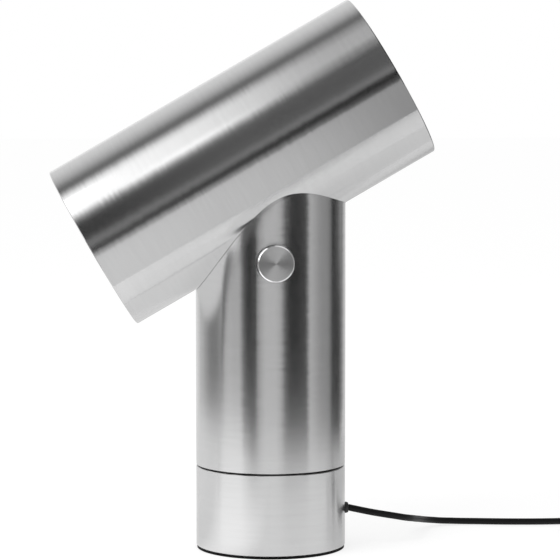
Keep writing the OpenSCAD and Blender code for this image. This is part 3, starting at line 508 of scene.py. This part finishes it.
def turned(
    name, colour, roughness, grain_ratio, middle=(0, 0, 0), tilt=(0, 0), rims=None, lines=1500.0,
    relief=0.00002, wander=0.0,
):
    """Metal turned about an axis through the middle point, tilted by these angles from +Z. The lathe's rings
    blur a reflection across themselves, so the shader's tangent is the ring's own direction crossed with the
    normal. The normal wanders a little along the ring from stroke to stroke, which frays the edges of a
    reflection."""
    finish = Finish(name, colour, roughness, metallic=1.0, Anisotropic=grain_ratio, Specular_Tint=edge_tint)
    axis = (
        math.sin(tilt[1]) * math.cos(tilt[0]), -math.sin(tilt[0]), math.cos(tilt[0]) * math.cos(tilt[1])
    )
    own = finish.add(
        "ShaderNodeMapping", {"Vector": finish.spot, "Location": middle, "Rotation": (*tilt, 0)},
        vector_type="TEXTURE",
    )[0]
    ring = finish.vectors("CROSS_PRODUCT", axis, finish.vectors("SUBTRACT", finish.spot, middle))
    ring = finish.add(
        "ShaderNodeVectorTransform", {0: ring}, vector_type="VECTOR", convert_from="OBJECT",
        convert_to="WORLD",
    )[0]
    ring = finish.vectors("NORMALIZE", ring)
    facing = finish.add("ShaderNodeNewGeometry")["Normal"]
    finish.feed("Tangent", finish.vectors("NORMALIZE", finish.vectors("CROSS_PRODUCT", ring, facing)))
    surface = finish.group(turned_lines, Position=own, Lines_per_metre=lines)
    dark = [(1 - line_drift) * level for level in colour]
    light = [min(1, (1 + line_drift) * level) for level in colour]
    finish.feed("Base Color", finish.blend(surface["Lines"], dark, light))
    rough = finish.span(surface["Film"], roughness - film_drift, roughness + film_drift)
    if rims:
        polish = finish.group(rim_polish, Position=own, First_rim=rims[0], Second_rim=rims[1], Width=rim_w)[0]
        rough = finish.maths("MULTIPLY_ADD", polish, -rim_smoother, rough)
    finish.feed("Roughness", rough)
    frayed = {}
    if wander:
        sway = finish.span(surface["Sway"], -wander, wander)
        shift = finish.add("ShaderNodeVectorMath", {0: ring, "Scale": sway}, operation="SCALE")["Vector"]
        frayed["Normal"] = finish.vectors("NORMALIZE", finish.vectors("ADD", facing, shift))
    finish.bump(surface["Lines"], line_strength, relief, **frayed)
    return finish


aluminium = (0.605, 0.605, 0.607)
tube_rough = 0.21
tube_ratio = 0.9
column_foot_z = 0.063
seam_z = 0.062
foot_z = 0.002
brushed_base = turned("brushed_base", aluminium, tube_rough, tube_ratio, rims=(foot_z, seam_z), wander=0.025)
dress(brushed_base, "base_shell")

foot_rubber = moulded(
    "foot_rubber", grey(0.003), grey(0.006), roughness=0.8, grain=0.0009, depth=0.0001,
    Specular_IOR_Level=0.15,
)
dress(foot_rubber, "foot_pad")

cast_iron = moulded(
    "painted_cast_iron", (0.05, 0.05, 0.053), (0.09, 0.09, 0.095), roughness=0.6, grain=0.0016, depth=0.0004
)
dress(cast_iron, "base_weight")

# Zinc plate: a pale grey with soft crystal patches and fine scratches.
crystals_per_metre = 900.0
zinc = Finish("zinc_plate", (0.6, 0.6, 0.62), 0.34, metallic=1.0)
crystals = zinc.add("ShaderNodeTexVoronoi", {"Vector": zinc.spot, "Scale": crystals_per_metre}, feature="F1")
drift = zinc.group(moulded_grain, Position=zinc.spot, Grain=0.0012)
zinc.feed("Base Color", zinc.blend(crystals["Distance"], (0.5, 0.5, 0.52), (0.68, 0.68, 0.69)))
zinc.feed("Roughness", zinc.span(drift["Tone"], 0.26, 0.44))
zinc.bump(drift["Height"], 0.2, 0.00003)
dress(zinc, "bottom_plate", "base_screws", "clamp_screws")

# Cord gland
# A black moulded gland pushed through the wall of the base. Its domed flange stands out by
# 2.6 mm round the cord, and inside a nut and a screwed clamp take the pull of the cord.
gland_face_x = 58.6
gland_seat_x = 55.7
gland_tail_x = 48.3
gland_z = 28.6
gland_neck_r = 3.5
gland_bore_r = 2.56
gland_lip_r = 3.06
flange_r = 4.25
flange_edge_r = 4.05
flange_edge = 0.3
dome_rise = 2.0
bore_edge = 0.15


def spun(name, profile, centre, columns=64):
    """Ring turned about an axis along X through this centre: each profile point is a place along the axis
    and a radius."""
    turn = np.linspace(0, 2 * math.pi, columns, endpoint=False)[None, :]
    along, radius = profile[:, :1], profile[:, 1:]
    y, z = centre[0] + radius * np.cos(turn), centre[1] + radius * np.sin(turn)
    return woven(name, millimetre * np.stack([along + 0 * turn, y, z], -1), shut_rows=True)


dome = np.linspace(0, math.pi / 2, 13)
dome_x = gland_face_x - dome_rise + dome_rise * np.sin(dome)
dome_r = gland_lip_r + (flange_r - gland_lip_r) * np.cos(dome)
gland_profile = np.vstack([
    [gland_tail_x, gland_bore_r], [gland_tail_x, gland_neck_r], [gland_seat_x, gland_neck_r],
    [gland_seat_x, flange_edge_r], [gland_seat_x + flange_edge, flange_r],
    np.stack([dome_x, dome_r], -1), [gland_face_x - bore_edge, gland_bore_r],
])
gland = spun("gland_dome", gland_profile, (0, gland_z))
gland.data.materials.append(black_pvc.material)
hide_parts("cord_gland")
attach(gland, "base")
dress(black_pvc, "cord_gland", "gland_nut", "cord_clamp")

# Swivel
# A hollow zinced spindle in a bronze bush lets the column turn on an acetal washer. A
# spring washer gives the drag, and a stop pin in the foot disc runs in a groove in the base.
bearing_bronze = turned("bearing_bronze", (0.62, 0.42, 0.2), 0.3, 0.6)
dress(bearing_bronze, "spindle_bush")
natural_acetal = moulded(
    "natural_acetal", (0.72, 0.71, 0.66), (0.8, 0.79, 0.74), roughness=0.42, grain=0.0008, depth=0.00003
)
dress(natural_acetal, "thrust_washer")
dress(zinc, "swivel_spindle", "swivel_nut", "stop_pin")
spring_steel = moulded(
    "phosphated_spring", (0.06, 0.06, 0.065), (0.11, 0.11, 0.115), roughness=0.45, grain=0.0009,
    depth=0.00003, metallic=1.0,
)
dress(spring_steel, "friction_washer")

# Column
# A thick aluminium tube, brushed round and anodised, closed below by a turned foot disc
# and coped above to the head. Three long rods with nuts clamp foot, column and head together.
column_rims = (column_foot_z, column_foot_z)
brushed_column = turned("brushed_column", aluminium, tube_rough, tube_ratio, rims=column_rims, wander=0.032)
dress(brushed_column, "column_tube")
satin_turned = turned("satin_turned", (0.6, 0.6, 0.61), 0.34, 0.7)
dress(satin_turned, "column_foot", "rod_seats")
dress(zinc, "tie_rods", "rod_nuts")

# Driver and leads
# The light's driver is a potted white case screwed to a folded sheet bracket inside the
# column. Its mains lead comes up through the spindle, and two white leads go on from it.
rolling = (60, 60, 4)
mill_sheet = Finish("mill_sheet", (0.55, 0.56, 0.57), 0.38, metallic=1.0)
rolled = mill_sheet.add("ShaderNodeMapping", {"Vector": mill_sheet.spot, "Scale": rolling})[0]
rolled_lines = noise(mill_sheet.tree, rolled, 20.0, 4.0)
mill_sheet.feed("Base Color", mill_sheet.blend(rolled_lines, (0.48, 0.49, 0.5), (0.6, 0.61, 0.62)))
mill_sheet.feed("Roughness", mill_sheet.span(rolled_lines, 0.3, 0.46))
dress(mill_sheet, "driver_bracket", "dimmer_bracket")
driver_plastic = moulded(
    "driver_case", (0.6, 0.6, 0.58), (0.68, 0.68, 0.66), roughness=0.5, grain=0.0007, depth=0.00008
)
dress(driver_plastic, "driver_case")
white_sheath = moulded(
    "white_sheath", (0.55, 0.55, 0.53), (0.62, 0.62, 0.6), roughness=0.45, grain=0.0006, depth=0.00003
)
dress(white_sheath, "led_lead", "dimmer_lead")
dress(zinc, "driver_screws", "bracket_nuts")

# Dimmer and knob
# A rotary dimmer on a cranked bracket behind the column's wall. Its knob is turned from
# solid aluminium: a face spun in fine rings, a bright chamfer, and a grub screw below.
knob_z = 0.21834
knob_middle = (0, 0, knob_z)
knob_tilt = (math.pi / 2, 0)
knob_r = 0.0135
knob_chamfer = 0.0009
knob_root = 0.0605
knob_rough = 0.42
chamfer_rough = 0.14
chamfer_bright = (0.85, 0.85, 0.855)
# Near black painted shade for the rear of the knob's side, where the gap at its root lies in shadow.
painted_root_shade = (0.015, 0.015, 0.016)
spun_knob = turned(
    "spun_knob", (0.56, 0.56, 0.562), knob_rough, 1.0, knob_middle, knob_tilt, lines=2600.0, relief=0.00001
)
knob_part = spun_knob.add("ShaderNodeSeparateXYZ", {0: spun_knob.spot})
on_face = spun_knob.add("ShaderNodeCombineXYZ", {0: knob_part[0], 2: knob_part[2]})[0]
reach = spun_knob.vectors("DISTANCE", on_face, knob_middle)
on_rim = spun_knob.maths("GREATER_THAN", reach, knob_r - knob_chamfer)
# Painted shade: the rear of the knob's side, behind knob_root, takes the near black colour in place of its
# metal.
on_painted_root_shade = spun_knob.maths("GREATER_THAN", knob_part[1], -knob_root)
face_colour = spun_knob.shader.inputs["Base Color"].links[0].from_socket
rim_colour = spun_knob.blend(on_rim, face_colour, chamfer_bright)
spun_knob.feed("Base Color", spun_knob.blend(on_painted_root_shade, rim_colour, painted_root_shade))
spun_knob.feed("Roughness", spun_knob.span(on_rim, knob_rough, chamfer_rough))
dress(spun_knob, "dimmer_knob")
dimmer_case = moulded(
    "dimmer_case", (0.045, 0.06, 0.085), (0.06, 0.08, 0.11), roughness=0.45, grain=0.0006, depth=0.00005
)
dress(dimmer_case, "dimmer_body")
turned_brass = turned("turned_brass", (0.68, 0.5, 0.24), 0.28, 0.6, knob_middle, knob_tilt)
dress(turned_brass, "dimmer_bush")
tinned = moulded(
    "tinned_terminals", (0.5, 0.45, 0.32), (0.66, 0.62, 0.5), roughness=0.35, grain=0.0006, depth=0.00002,
    metallic=1.0,
)
dress(tinned, "dimmer_terminals")
dress(zinc, "dimmer_shaft", "dimmer_nut")
dress(spring_steel, "knob_grub_screw")

# Head tube
# The searchlight's barrel: a wide aluminium tube, brushed round its own axis, which lies
# over the column at thirty degrees. Both rims are turned thin and bright.
axis_z = 0.302
head_middle = (0, 0, axis_z)
head_tilt = math.radians(30)
head_turn = (0, math.pi / 2 - head_tilt)
head_rims = (-0.1525, 0.1035)
brushed_head = turned(
    "brushed_head", aluminium, tube_rough, tube_ratio, head_middle, head_turn, head_rims, wander=0.025
)
dress(brushed_head, "head_tube")
dress(black_pvc, "wire_grommet")

# Light
# Behind the mouth sit an opal acrylic disc, a white cone, and a board with a ring pattern
# of small emitters. The board is screwed to a finned heat sink that snap rings hold.
satin_cap = turned("satin_cap", (0.62, 0.62, 0.63), 0.3, 0.8, head_middle, head_turn, lines=2200.0)
dress(satin_cap, "front_ring", "rear_cap")
extruded = moulded(
    "extruded_sink", (0.3, 0.31, 0.33), (0.4, 0.41, 0.43), roughness=0.42, grain=0.0009, depth=0.00004,
    metallic=1.0,
)
dress(extruded, "heat_sink")
solder_mask = moulded(
    "white_solder_mask", (0.74, 0.74, 0.73), (0.82, 0.82, 0.81), roughness=0.35, grain=0.0006, depth=0.00002
)
dress(solder_mask, "led_board")
phosphor = moulded(
    "phosphor", (0.78, 0.52, 0.06), (0.86, 0.64, 0.12), roughness=0.25, grain=0.0004, depth=0.00002
)
dress(phosphor, "led_chips")
dress(zinc, "board_screws")
white_cone = moulded(
    "white_reflector", (0.8, 0.8, 0.79), (0.86, 0.86, 0.85), roughness=0.25, grain=0.0009, depth=0.00002
)
dress(white_cone, "reflector")
opal = moulded(
    "opal_acrylic", (0.78, 0.78, 0.76), (0.84, 0.84, 0.82), roughness=0.3, grain=0.0005, depth=0.00001,
    Subsurface_Weight=0.2,
)
dress(opal, "diffuser")
dress(spring_steel, "inner_circlip")
seal_rubber = moulded("seal_rubber", grey(0.014), grey(0.024), roughness=0.7, grain=0.0006, depth=0.00005)
dress(seal_rubber, "cap_seal")

# Studio
# A white table and backdrop, one large soft lamp, and light cards round the front of the
# lamp that only its metal sees: they give the tubes their dark and bright bands.
white = (1, 1, 1, 1)
table_side = 6
table_back = 9
table_z = -0.0001
table_glow = 0.72
table_seen = (*grey(0.36), 1)
table_unseen = (*grey(0.8), 1)
room_light = 0.75
backdrop_light = 1.0
table_corners = [
    (-table_side, -table_side, table_z), (table_side, -table_side, table_z),
    (table_side, table_back, table_z), (-table_side, table_back, table_z),
]
table_mesh = bpy.data.meshes.new("table")
table_mesh.from_pydata(table_corners, [], [(0, 1, 2, 3)])
table = bpy.data.objects.new("table", table_mesh)
bpy.context.scene.collection.objects.link(table)


def bare_tree(owner):
    """Node tree of this material or world, with nothing in it yet."""
    owner.use_nodes = True
    owner.node_tree.nodes.clear()
    return owner.node_tree


def shown_mask(tree):
    """Mask that is 1 in what the camera sees, also mirrored or through glass, and 0 for light on the lamp."""
    ray = put(tree, "ShaderNodeLightPath")
    seen_or_mirrored = maths(tree, "MAXIMUM", ray["Is Camera Ray"], ray["Is Glossy Ray"])
    return maths(tree, "MAXIMUM", seen_or_mirrored, ray["Is Transmission Ray"])


# The table is a pale grey that shines a little where it is seen, and it is clear from below.
white_table = bpy.data.materials.new("white_table")
tree = bare_tree(white_table)
shown = shown_mask(tree)
matt_seen = put(tree, "ShaderNodeBsdfDiffuse", {"Color": table_seen})[0]
matt_unseen = put(tree, "ShaderNodeBsdfDiffuse", {"Color": table_unseen})[0]
matt = put(tree, "ShaderNodeMixShader", {0: shown, 1: matt_unseen, 2: matt_seen})[0]
table_shine = maths(tree, "MULTIPLY", shown, table_glow)
lift = put(tree, "ShaderNodeEmission", {"Color": white, "Strength": table_shine})[0]
from_above = put(tree, "ShaderNodeAddShader", {0: matt, 1: lift})[0]
below = put(tree, "ShaderNodeNewGeometry")["Backfacing"]
clear = put(tree, "ShaderNodeBsdfTransparent")[0]
one_sided = put(tree, "ShaderNodeMixShader", {0: below, 1: from_above, 2: clear})[0]
put(tree, "ShaderNodeOutputMaterial", {"Surface": one_sided})
table_mesh.materials.append(white_table)

world = bpy.data.worlds.new("studio")
bpy.context.scene.world = world
tree = bare_tree(world)
strength = put(tree, "ShaderNodeMapRange", {0: shown_mask(tree), 3: room_light, 4: backdrop_light})[0]
sky = put(tree, "ShaderNodeBackground", {"Color": white, "Strength": strength})[0]
put(tree, "ShaderNodeOutputWorld", {"Surface": sky})

softbox_data = bpy.data.lights.new("softbox", "AREA")
softbox_data.shape = "RECTANGLE"
softbox_data.size = 1.2
softbox_data.size_y = 1.0
softbox_data.energy = 14
softbox = bpy.data.objects.new("softbox", softbox_data)
softbox.location = (-1.1, -0.9, 1.6)
softbox.rotation_euler = (math.radians(38), 0, math.radians(-50))
softbox.visible_glossy = False
bpy.context.scene.collection.objects.link(softbox)


def card_finish(name, one_way):
    """Material that shines by the point attribute glow. A one-way card can't be seen from its back, or where
    its glow is below 0."""
    finish = bpy.data.materials.new(name)
    tree = bare_tree(finish)
    shine = put(tree, "ShaderNodeAttribute", attribute_name="glow")["Fac"]
    shown = put(tree, "ShaderNodeEmission", {"Color": white, "Strength": shine})[0]
    if one_way:
        behind = put(tree, "ShaderNodeNewGeometry")["Backfacing"]
        unseen = maths(tree, "MAXIMUM", behind, maths(tree, "LESS_THAN", shine, 0.0))
        clear = put(tree, "ShaderNodeBsdfTransparent")[0]
        shown = put(tree, "ShaderNodeMixShader", {0: unseen, 1: shown, 2: clear})[0]
    put(tree, "ShaderNodeOutputMaterial", {"Surface": shown})
    return finish


card_light = card_finish("card_light", False)
one_way_light = card_finish("one_way_light", True)


def light_card(name, points, glow, shows=None):
    """Curved card over a grid of points, which shines by the glow at each point, and only into polished
    surfaces. It shows from both sides, or else only from the side named: up, down, or out from the column."""
    card = woven(name, points, shut_columns=False)
    if shows:
        first = card.data.polygons[0]
        out = first.normal.x * first.center.x + first.normal.y * first.center.y
        if {"up": first.normal.z, "down": -first.normal.z, "out": out}[shows] < 0:
            card.data.flip_normals()
    spread = card.data.attributes.new("glow", "FLOAT", "POINT")
    spread.data.foreach_set("value", (glow + 0 * points[:, :, 0]).ravel().astype(np.float32))
    card.data.materials.append(one_way_light if shows else card_light)
    card.visible_camera = False
    card.visible_diffuse = False
    card.visible_shadow = False
    card.visible_transmission = False


def grid(x, y, z):
    """Grid of points with these coordinates, each spread to the shape that the three have together."""
    return np.stack(np.broadcast_arrays(x, y, z), -1)


def by_bearing(bearing, radius):
    """Places this far from the column's axis, by their bearing in degrees to the right of straight ahead."""
    return radius * np.sin(np.radians(bearing)), -radius * np.cos(np.radians(bearing))


def by_axis(along, out, lift):
    """Points beside the head's axis: this far back along it, out in front of it, and up square to both."""
    side = along * math.cos(head_tilt) - lift * math.sin(head_tilt)
    return grid(side, -out, axis_z + along * math.sin(head_tilt) + lift * math.cos(head_tilt))


def round_axis(along, turn, radius):
    """Points round the head's axis, by their turn in degrees up from straight ahead, at this radius."""
    return by_axis(along, radius * np.cos(np.radians(turn)), radius * np.sin(np.radians(turn)))


def plateau(value, stops):
    """Mask that climbs from 0 to 1 between the first two stops and falls back between the last two."""
    return np.interp(value, stops, [0, 1, 1, 0])


# Cards round the column, by their bearing: grey left card, black left flag, pale front card, wide black right
# flag, grey right card, a black gap, and a dark end card. Each is a louvre whose slats slope outwards, so it
# stands in front of the column and lets the head look down through it to the table.
card_r = 0.256
shelf_drop = 0.035
louvre_slats = 14
slat_lap = 1.25
least_louvre = 0.02
bearing_stops = [
    -144, -136, -128, -121, -113, -105, -98, -90, -83, -76, -69, -62, -54, -47, -40, -33, -26, -19, -11, 3,
    10, 17, 24, 31, 38, 47, 53, 60, 68, 75, 82, 90, 97, 105, 112, 120, 128, 135, 143, 150,
]
bearing_glow = [
    1.0, 0.9, 0.7, 0.65, 0.48, 0.33, 0.23, 0.195, 0.215, 0.34, 0.58, 0.62, 0.56, 0.58, 0.1, 0.0, 0.03, 0.48,
    0.67, 0.67, 0.57, 0.1, 0.0, 0.0, 0.02, 0.05, 0.62, 0.53, 0.42, 0.36, 0.35, 0.26, 0.02, 0.08, 0.15, 0.33,
    0.29, 0.65, 0.75, 0.87,
]
foot_stops = [-60, -44, -40, -33, -26, -19, -10, 5, 12, 46, 52, 62, 70, 84, 112, 128, 136]
foot_height = [
    0.075, 0.072, 0.06, 0.055, 0.044, 0.052, 0.06, 0.06, 0.034, 0.034, 0.05, 0.046, 0.03, 0.026, 0.046, 0.062,
    0.072,
]
bearing = np.linspace(-144, 150, 295)[None, :]
card_x, card_y = by_bearing(bearing, card_r)
card_top = axis_z - shelf_drop / math.cos(head_tilt) + math.tan(head_tilt) * card_x
card_top = card_top + np.interp(bearing, [-74, -68], [0.07, 0])
card_foot = np.interp(bearing, foot_stops, foot_height)
slat_pitch = np.maximum(card_top - card_foot, least_louvre) / louvre_slats
slat_slope = np.tan(np.radians(np.interp(bearing, [70, 90], [52, 40])))
slat_fall = np.array([[0.0], [1.0]]) * slat_lap * slat_pitch
slat_edge = 1 + slat_fall / slat_slope / card_r
end_dip = 0.75 * plateau(bearing, [98, 106, 118, 126])
for slat in range(louvre_slats):
    height = card_foot + slat_pitch * (slat + 1) - slat_fall
    dip = end_dip * np.interp(height, [0.165, 0.205], [1, 0])
    slat_glow = np.interp(bearing, bearing_stops, bearing_glow) * (1 - dip)
    light_card("column_slat", grid(card_x * slat_edge, card_y * slat_edge, height), slat_glow, "down")

# Low cards at the foot of the louvres: a bright one at the left, and a grey one at the right. A patch of the
# table at the left is lit more brightly than the rest.
low_bearing = np.linspace(-84, 150, 118)[None, :]
low_climb = np.linspace(0.001, 0.05, 4)[:, None]
low_stops = [-84, -74, -46, -33, -22, 0, 80, 92, 130, 150]
low_glow = np.interp(low_bearing, low_stops, [0.95, 1.25, 1.28, 1.15, 1.0, 1.0, 1.0, 0.75, 0.72, 0.75])
light_card("low_card", grid(*by_bearing(low_bearing, card_r), low_climb), low_glow)

sheet_z = 0.0008
patch_gain = 0.4
patch_x = np.linspace(-0.32, -0.02, 31)[:, None]
patch_y = np.linspace(-0.24, 0.12, 37)[None, :]
patch_lift = plateau(patch_x, [-0.32, -0.26, -0.06, -0.02]) * plateau(patch_y, [-0.24, -0.18, -0.05, 0.01])
light_card("table_patch", grid(patch_x, patch_y, sheet_z), 1 + patch_gain * patch_lift, "up")

# Cards over the head, by their turn about its axis: a dark low flag, a grey strip, a black flag, the long
# bright strip light, which fades towards the rear, and a grey overhead card.
head_card_r = 0.3
turn_stops = [
    -7, -3, 0, 4, 7, 10, 17, 24, 31, 37, 41, 45, 50, 56, 72, 78, 84, 89, 93, 98, 104, 111, 119, 127, 134, 142,
    158,
]
turn_glow = [
    0.37, 0.27, 0.04, 0.05, 0.2, 0.26, 0.14, 0.12, 0.12, 0.14, 0.25, 0.55, 1.0, 1.0, 1.0, 0.8, 0.45, 0.22,
    0.2, 0.3, 0.5, 0.68, 0.82, 0.93, 0.98, 1.0, 1.2,
]
rise = np.linspace(-7, 158, 166)[None, :]
back_along = np.linspace(-0.3, 0.26, 29)[:, None]
head_glow = np.interp(rise, turn_stops, turn_glow)

# Four fades along the head. Each has the turns that it lies between, places along the axis, and the share of
# the glow at each place.
along_fades = [
    (
        [40, 50, 78, 90], [-0.145, -0.09, -0.06, -0.03, 0.0, 0.03, 0.06, 0.09, 0.12],
        [1.7, 1.54, 1.44, 1.3, 1.13, 0.91, 0.66, 0.57, 0.6],
    ),
    ([-9, -8, 4, 7], [-0.145, 0.0, 0.09], [1.7, 1.0, 0.2]),
    ([14, 20, 34, 40], [-0.145, -0.09, -0.03, 0.03], [0.35, 0.85, 1.25, 1.05]),
    (
        [34, 40, 50, 57], [-0.145, -0.09, -0.06, -0.03, 0.0, 0.03, 0.06, 0.09],
        [0.88, 1.1, 1.35, 1.4, 1.1, 0.85, 0.6, 0.5],
    ),
]
for fade_turns, places, shares in along_fades:
    head_glow = head_glow * (1 + plateau(rise, fade_turns) * (np.interp(back_along, places, shares) - 1))
light_card("head_cards", round_axis(back_along, rise, head_card_r), head_glow)

# A shelf card that lies along the head in front, just under its axis, and fades towards the rear. From below
# it shows the column what its louvres would show there.
shelf_t = 0.0005
shelf_out = np.linspace(0.064, 0.3, 60)[None, :]
shelf_along = [-0.145, -0.09, -0.06, -0.03, 0.0, 0.03, 0.06, 0.09, 0.1]
shelf_glow = np.interp(back_along, shelf_along, [0.9, 0.86, 0.8, 0.78, 0.73, 0.65, 0.54, 0.44, 0.42])
light_card("shelf_card", by_axis(back_along, shelf_out, -shelf_drop), shelf_glow, "up")

# Its underside repeats the louvres by bearing, moved a little because it is nearer than they are. It is pale
# at the right, darker close to the column at the left, and open where the knob's small lamp shines through.
shift_by_nearness = 0.032
right_pale = 0.85
left_dim = 0.3
gap_x = -0.041
gap_half_w = 0.021
gap_out = 0.082
under_along = np.linspace(-0.3, 0.26, 141)[:, None]
under_out = np.linspace(0.056, 0.3, 80)[None, :]
under_points = by_axis(under_along, under_out, -shelf_drop - shelf_t)
under_x = under_points[:, :, 0]
nearness = 1 / np.hypot(under_x, under_out) - 1 / card_r
under_bearing = np.degrees(np.arctan2(under_x, under_out)) * (1 + shift_by_nearness * nearness)
under_glow = np.interp(under_bearing, bearing_stops, bearing_glow)
under_glow = under_glow + np.interp(under_bearing, [4, 14], [0, 1]) * np.maximum(right_pale - under_glow, 0)
close_dim = np.interp(under_out, [0.066, gap_out], [left_dim, 1])
under_glow = np.where(under_bearing < 0, under_glow * close_dim, under_glow)
in_gap = (np.abs(under_x - gap_x) < gap_half_w) & (under_out < gap_out)
light_card("shelf_underside", under_points, np.where(in_gap, -1.0, under_glow), "down")

# Pale sleeve cards round the left of the column and under the head, which only show from outside: the column
# and the head see them in place of each other's dark bands.
column_sleeve_r = 0.0563
column_sleeve_top = 0.3
head_sleeve_r = 0.0653
head_sleeve_glow = 0.88
sleeve_turn = np.linspace(-172, -8, 83)[None, :]
sleeve_foot = np.interp(sleeve_turn, [-26, -24], [0.001, 0.214])
sleeve_z = sleeve_foot + np.linspace(0, 1, 40)[:, None] * (column_sleeve_top - sleeve_foot)
sleeve_glow = np.interp(sleeve_z, [0.16, 0.2], [0.95, 0.86])
light_card("column_sleeve", grid(*by_bearing(sleeve_turn, column_sleeve_r), sleeve_z), sleeve_glow, "out")
under_turn = np.linspace(-165, -41, 63)[None, :]
sleeve_along = np.linspace(-0.15, -0.02, 40)[:, None]
light_card("head_sleeve", round_axis(sleeve_along, under_turn, head_sleeve_r), head_sleeve_glow, "down")

# Two small cards at the knob: a pale arch over it, which the head sees, and a dark ring behind it, which its
# own side sees. The arch widens towards the column, so the column looks through its back.
arch_glow = 0.9
shade_y = -0.0566
shade_glow = 0.03


def round_knob(turn, y, radius):
    """Points round the knob's axis, by their turn in degrees from the top, at this depth and radius."""
    return grid(radius * np.sin(np.radians(turn)), y, knob_z + radius * np.cos(np.radians(turn)))


arch_y = np.linspace(-0.0775, -0.0568, 4)[:, None]
arch_r = np.linspace(0.0143, 0.0275, 4)[:, None]
light_card("knob_arch", round_knob(np.linspace(-84, 84, 29)[None, :], arch_y, arch_r), arch_glow, "up")
shade_turn = np.linspace(-179, 179, 49)[None, :]
shade_r = np.linspace(0.0137, 0.022, 4)[:, None]
light_card("knob_shade", round_knob(shade_turn, shade_y, shade_r), shade_glow, "out")

# The table as the metal sees it: white over the coil, which the photograph doesn't show, and a little darker
# far behind the lamp and at the foot's right.
cover_z = 0.032
cover_glow = 0.88
cover_x = np.linspace(0.19, 0.36, 12)[:, None]
cover_y = np.linspace(-0.09, 0.14, 12)[None, :]
light_card("coil_cover", grid(cover_x, cover_y, cover_z), cover_glow, "up")
far_x = np.linspace(-0.2, 0.7, 19)[:, None]
far_y = np.linspace(0.2, 2.6, 49)[None, :]
far_glow = np.interp(far_y, [0.45, 0.57, 0.85, 0.95, 2.6], [1.0, 0.8, 0.78, 0.7, 0.75])
far_glow = 1 - np.interp(far_x, [-0.2, -0.05], [0, 1]) * (1 - far_glow)
light_card("far_table", grid(far_x, far_y, sheet_z), far_glow, "up")
foot_sheet_z = 0.0006
foot_loss = 0.2
foot_x = np.linspace(0.03, 0.24, 22)[:, None]
foot_y = np.linspace(-0.16, 0.2, 37)[None, :]
foot_dim = plateau(foot_x, [0.03, 0.06, 0.16, 0.24]) * plateau(foot_y, [-0.055, -0.02, 0.12, 0.2])
light_card("foot_table", grid(foot_x, foot_y, foot_sheet_z), 1 - foot_loss * foot_dim, "up")

# A dark card high at the right, which the rear rim's chamfer shows.
end_x = 0.33
end_y = np.linspace(-0.15, 0.7, 5)[None, :]
end_z = np.linspace(0.39, 0.95, 15)[:, None]
light_card("end_card", grid(end_x, end_y, end_z), np.interp(end_z, [0.72, 0.95], [0.02, 0.5]))

# A small bright lamp far out at the left, which the knob's chamfer catches through the gap in the shelf.
glint_glow = 2.6
glint_x = np.linspace(-0.256, -0.205, 6)[:, None]
glint_y = np.linspace(-0.125, -0.065, 4)[None, :]
glint_z = np.linspace(0.265, 0.375, 6)[:, None]
light_card("glint_card", grid(glint_x, glint_y, glint_z), glint_glow)
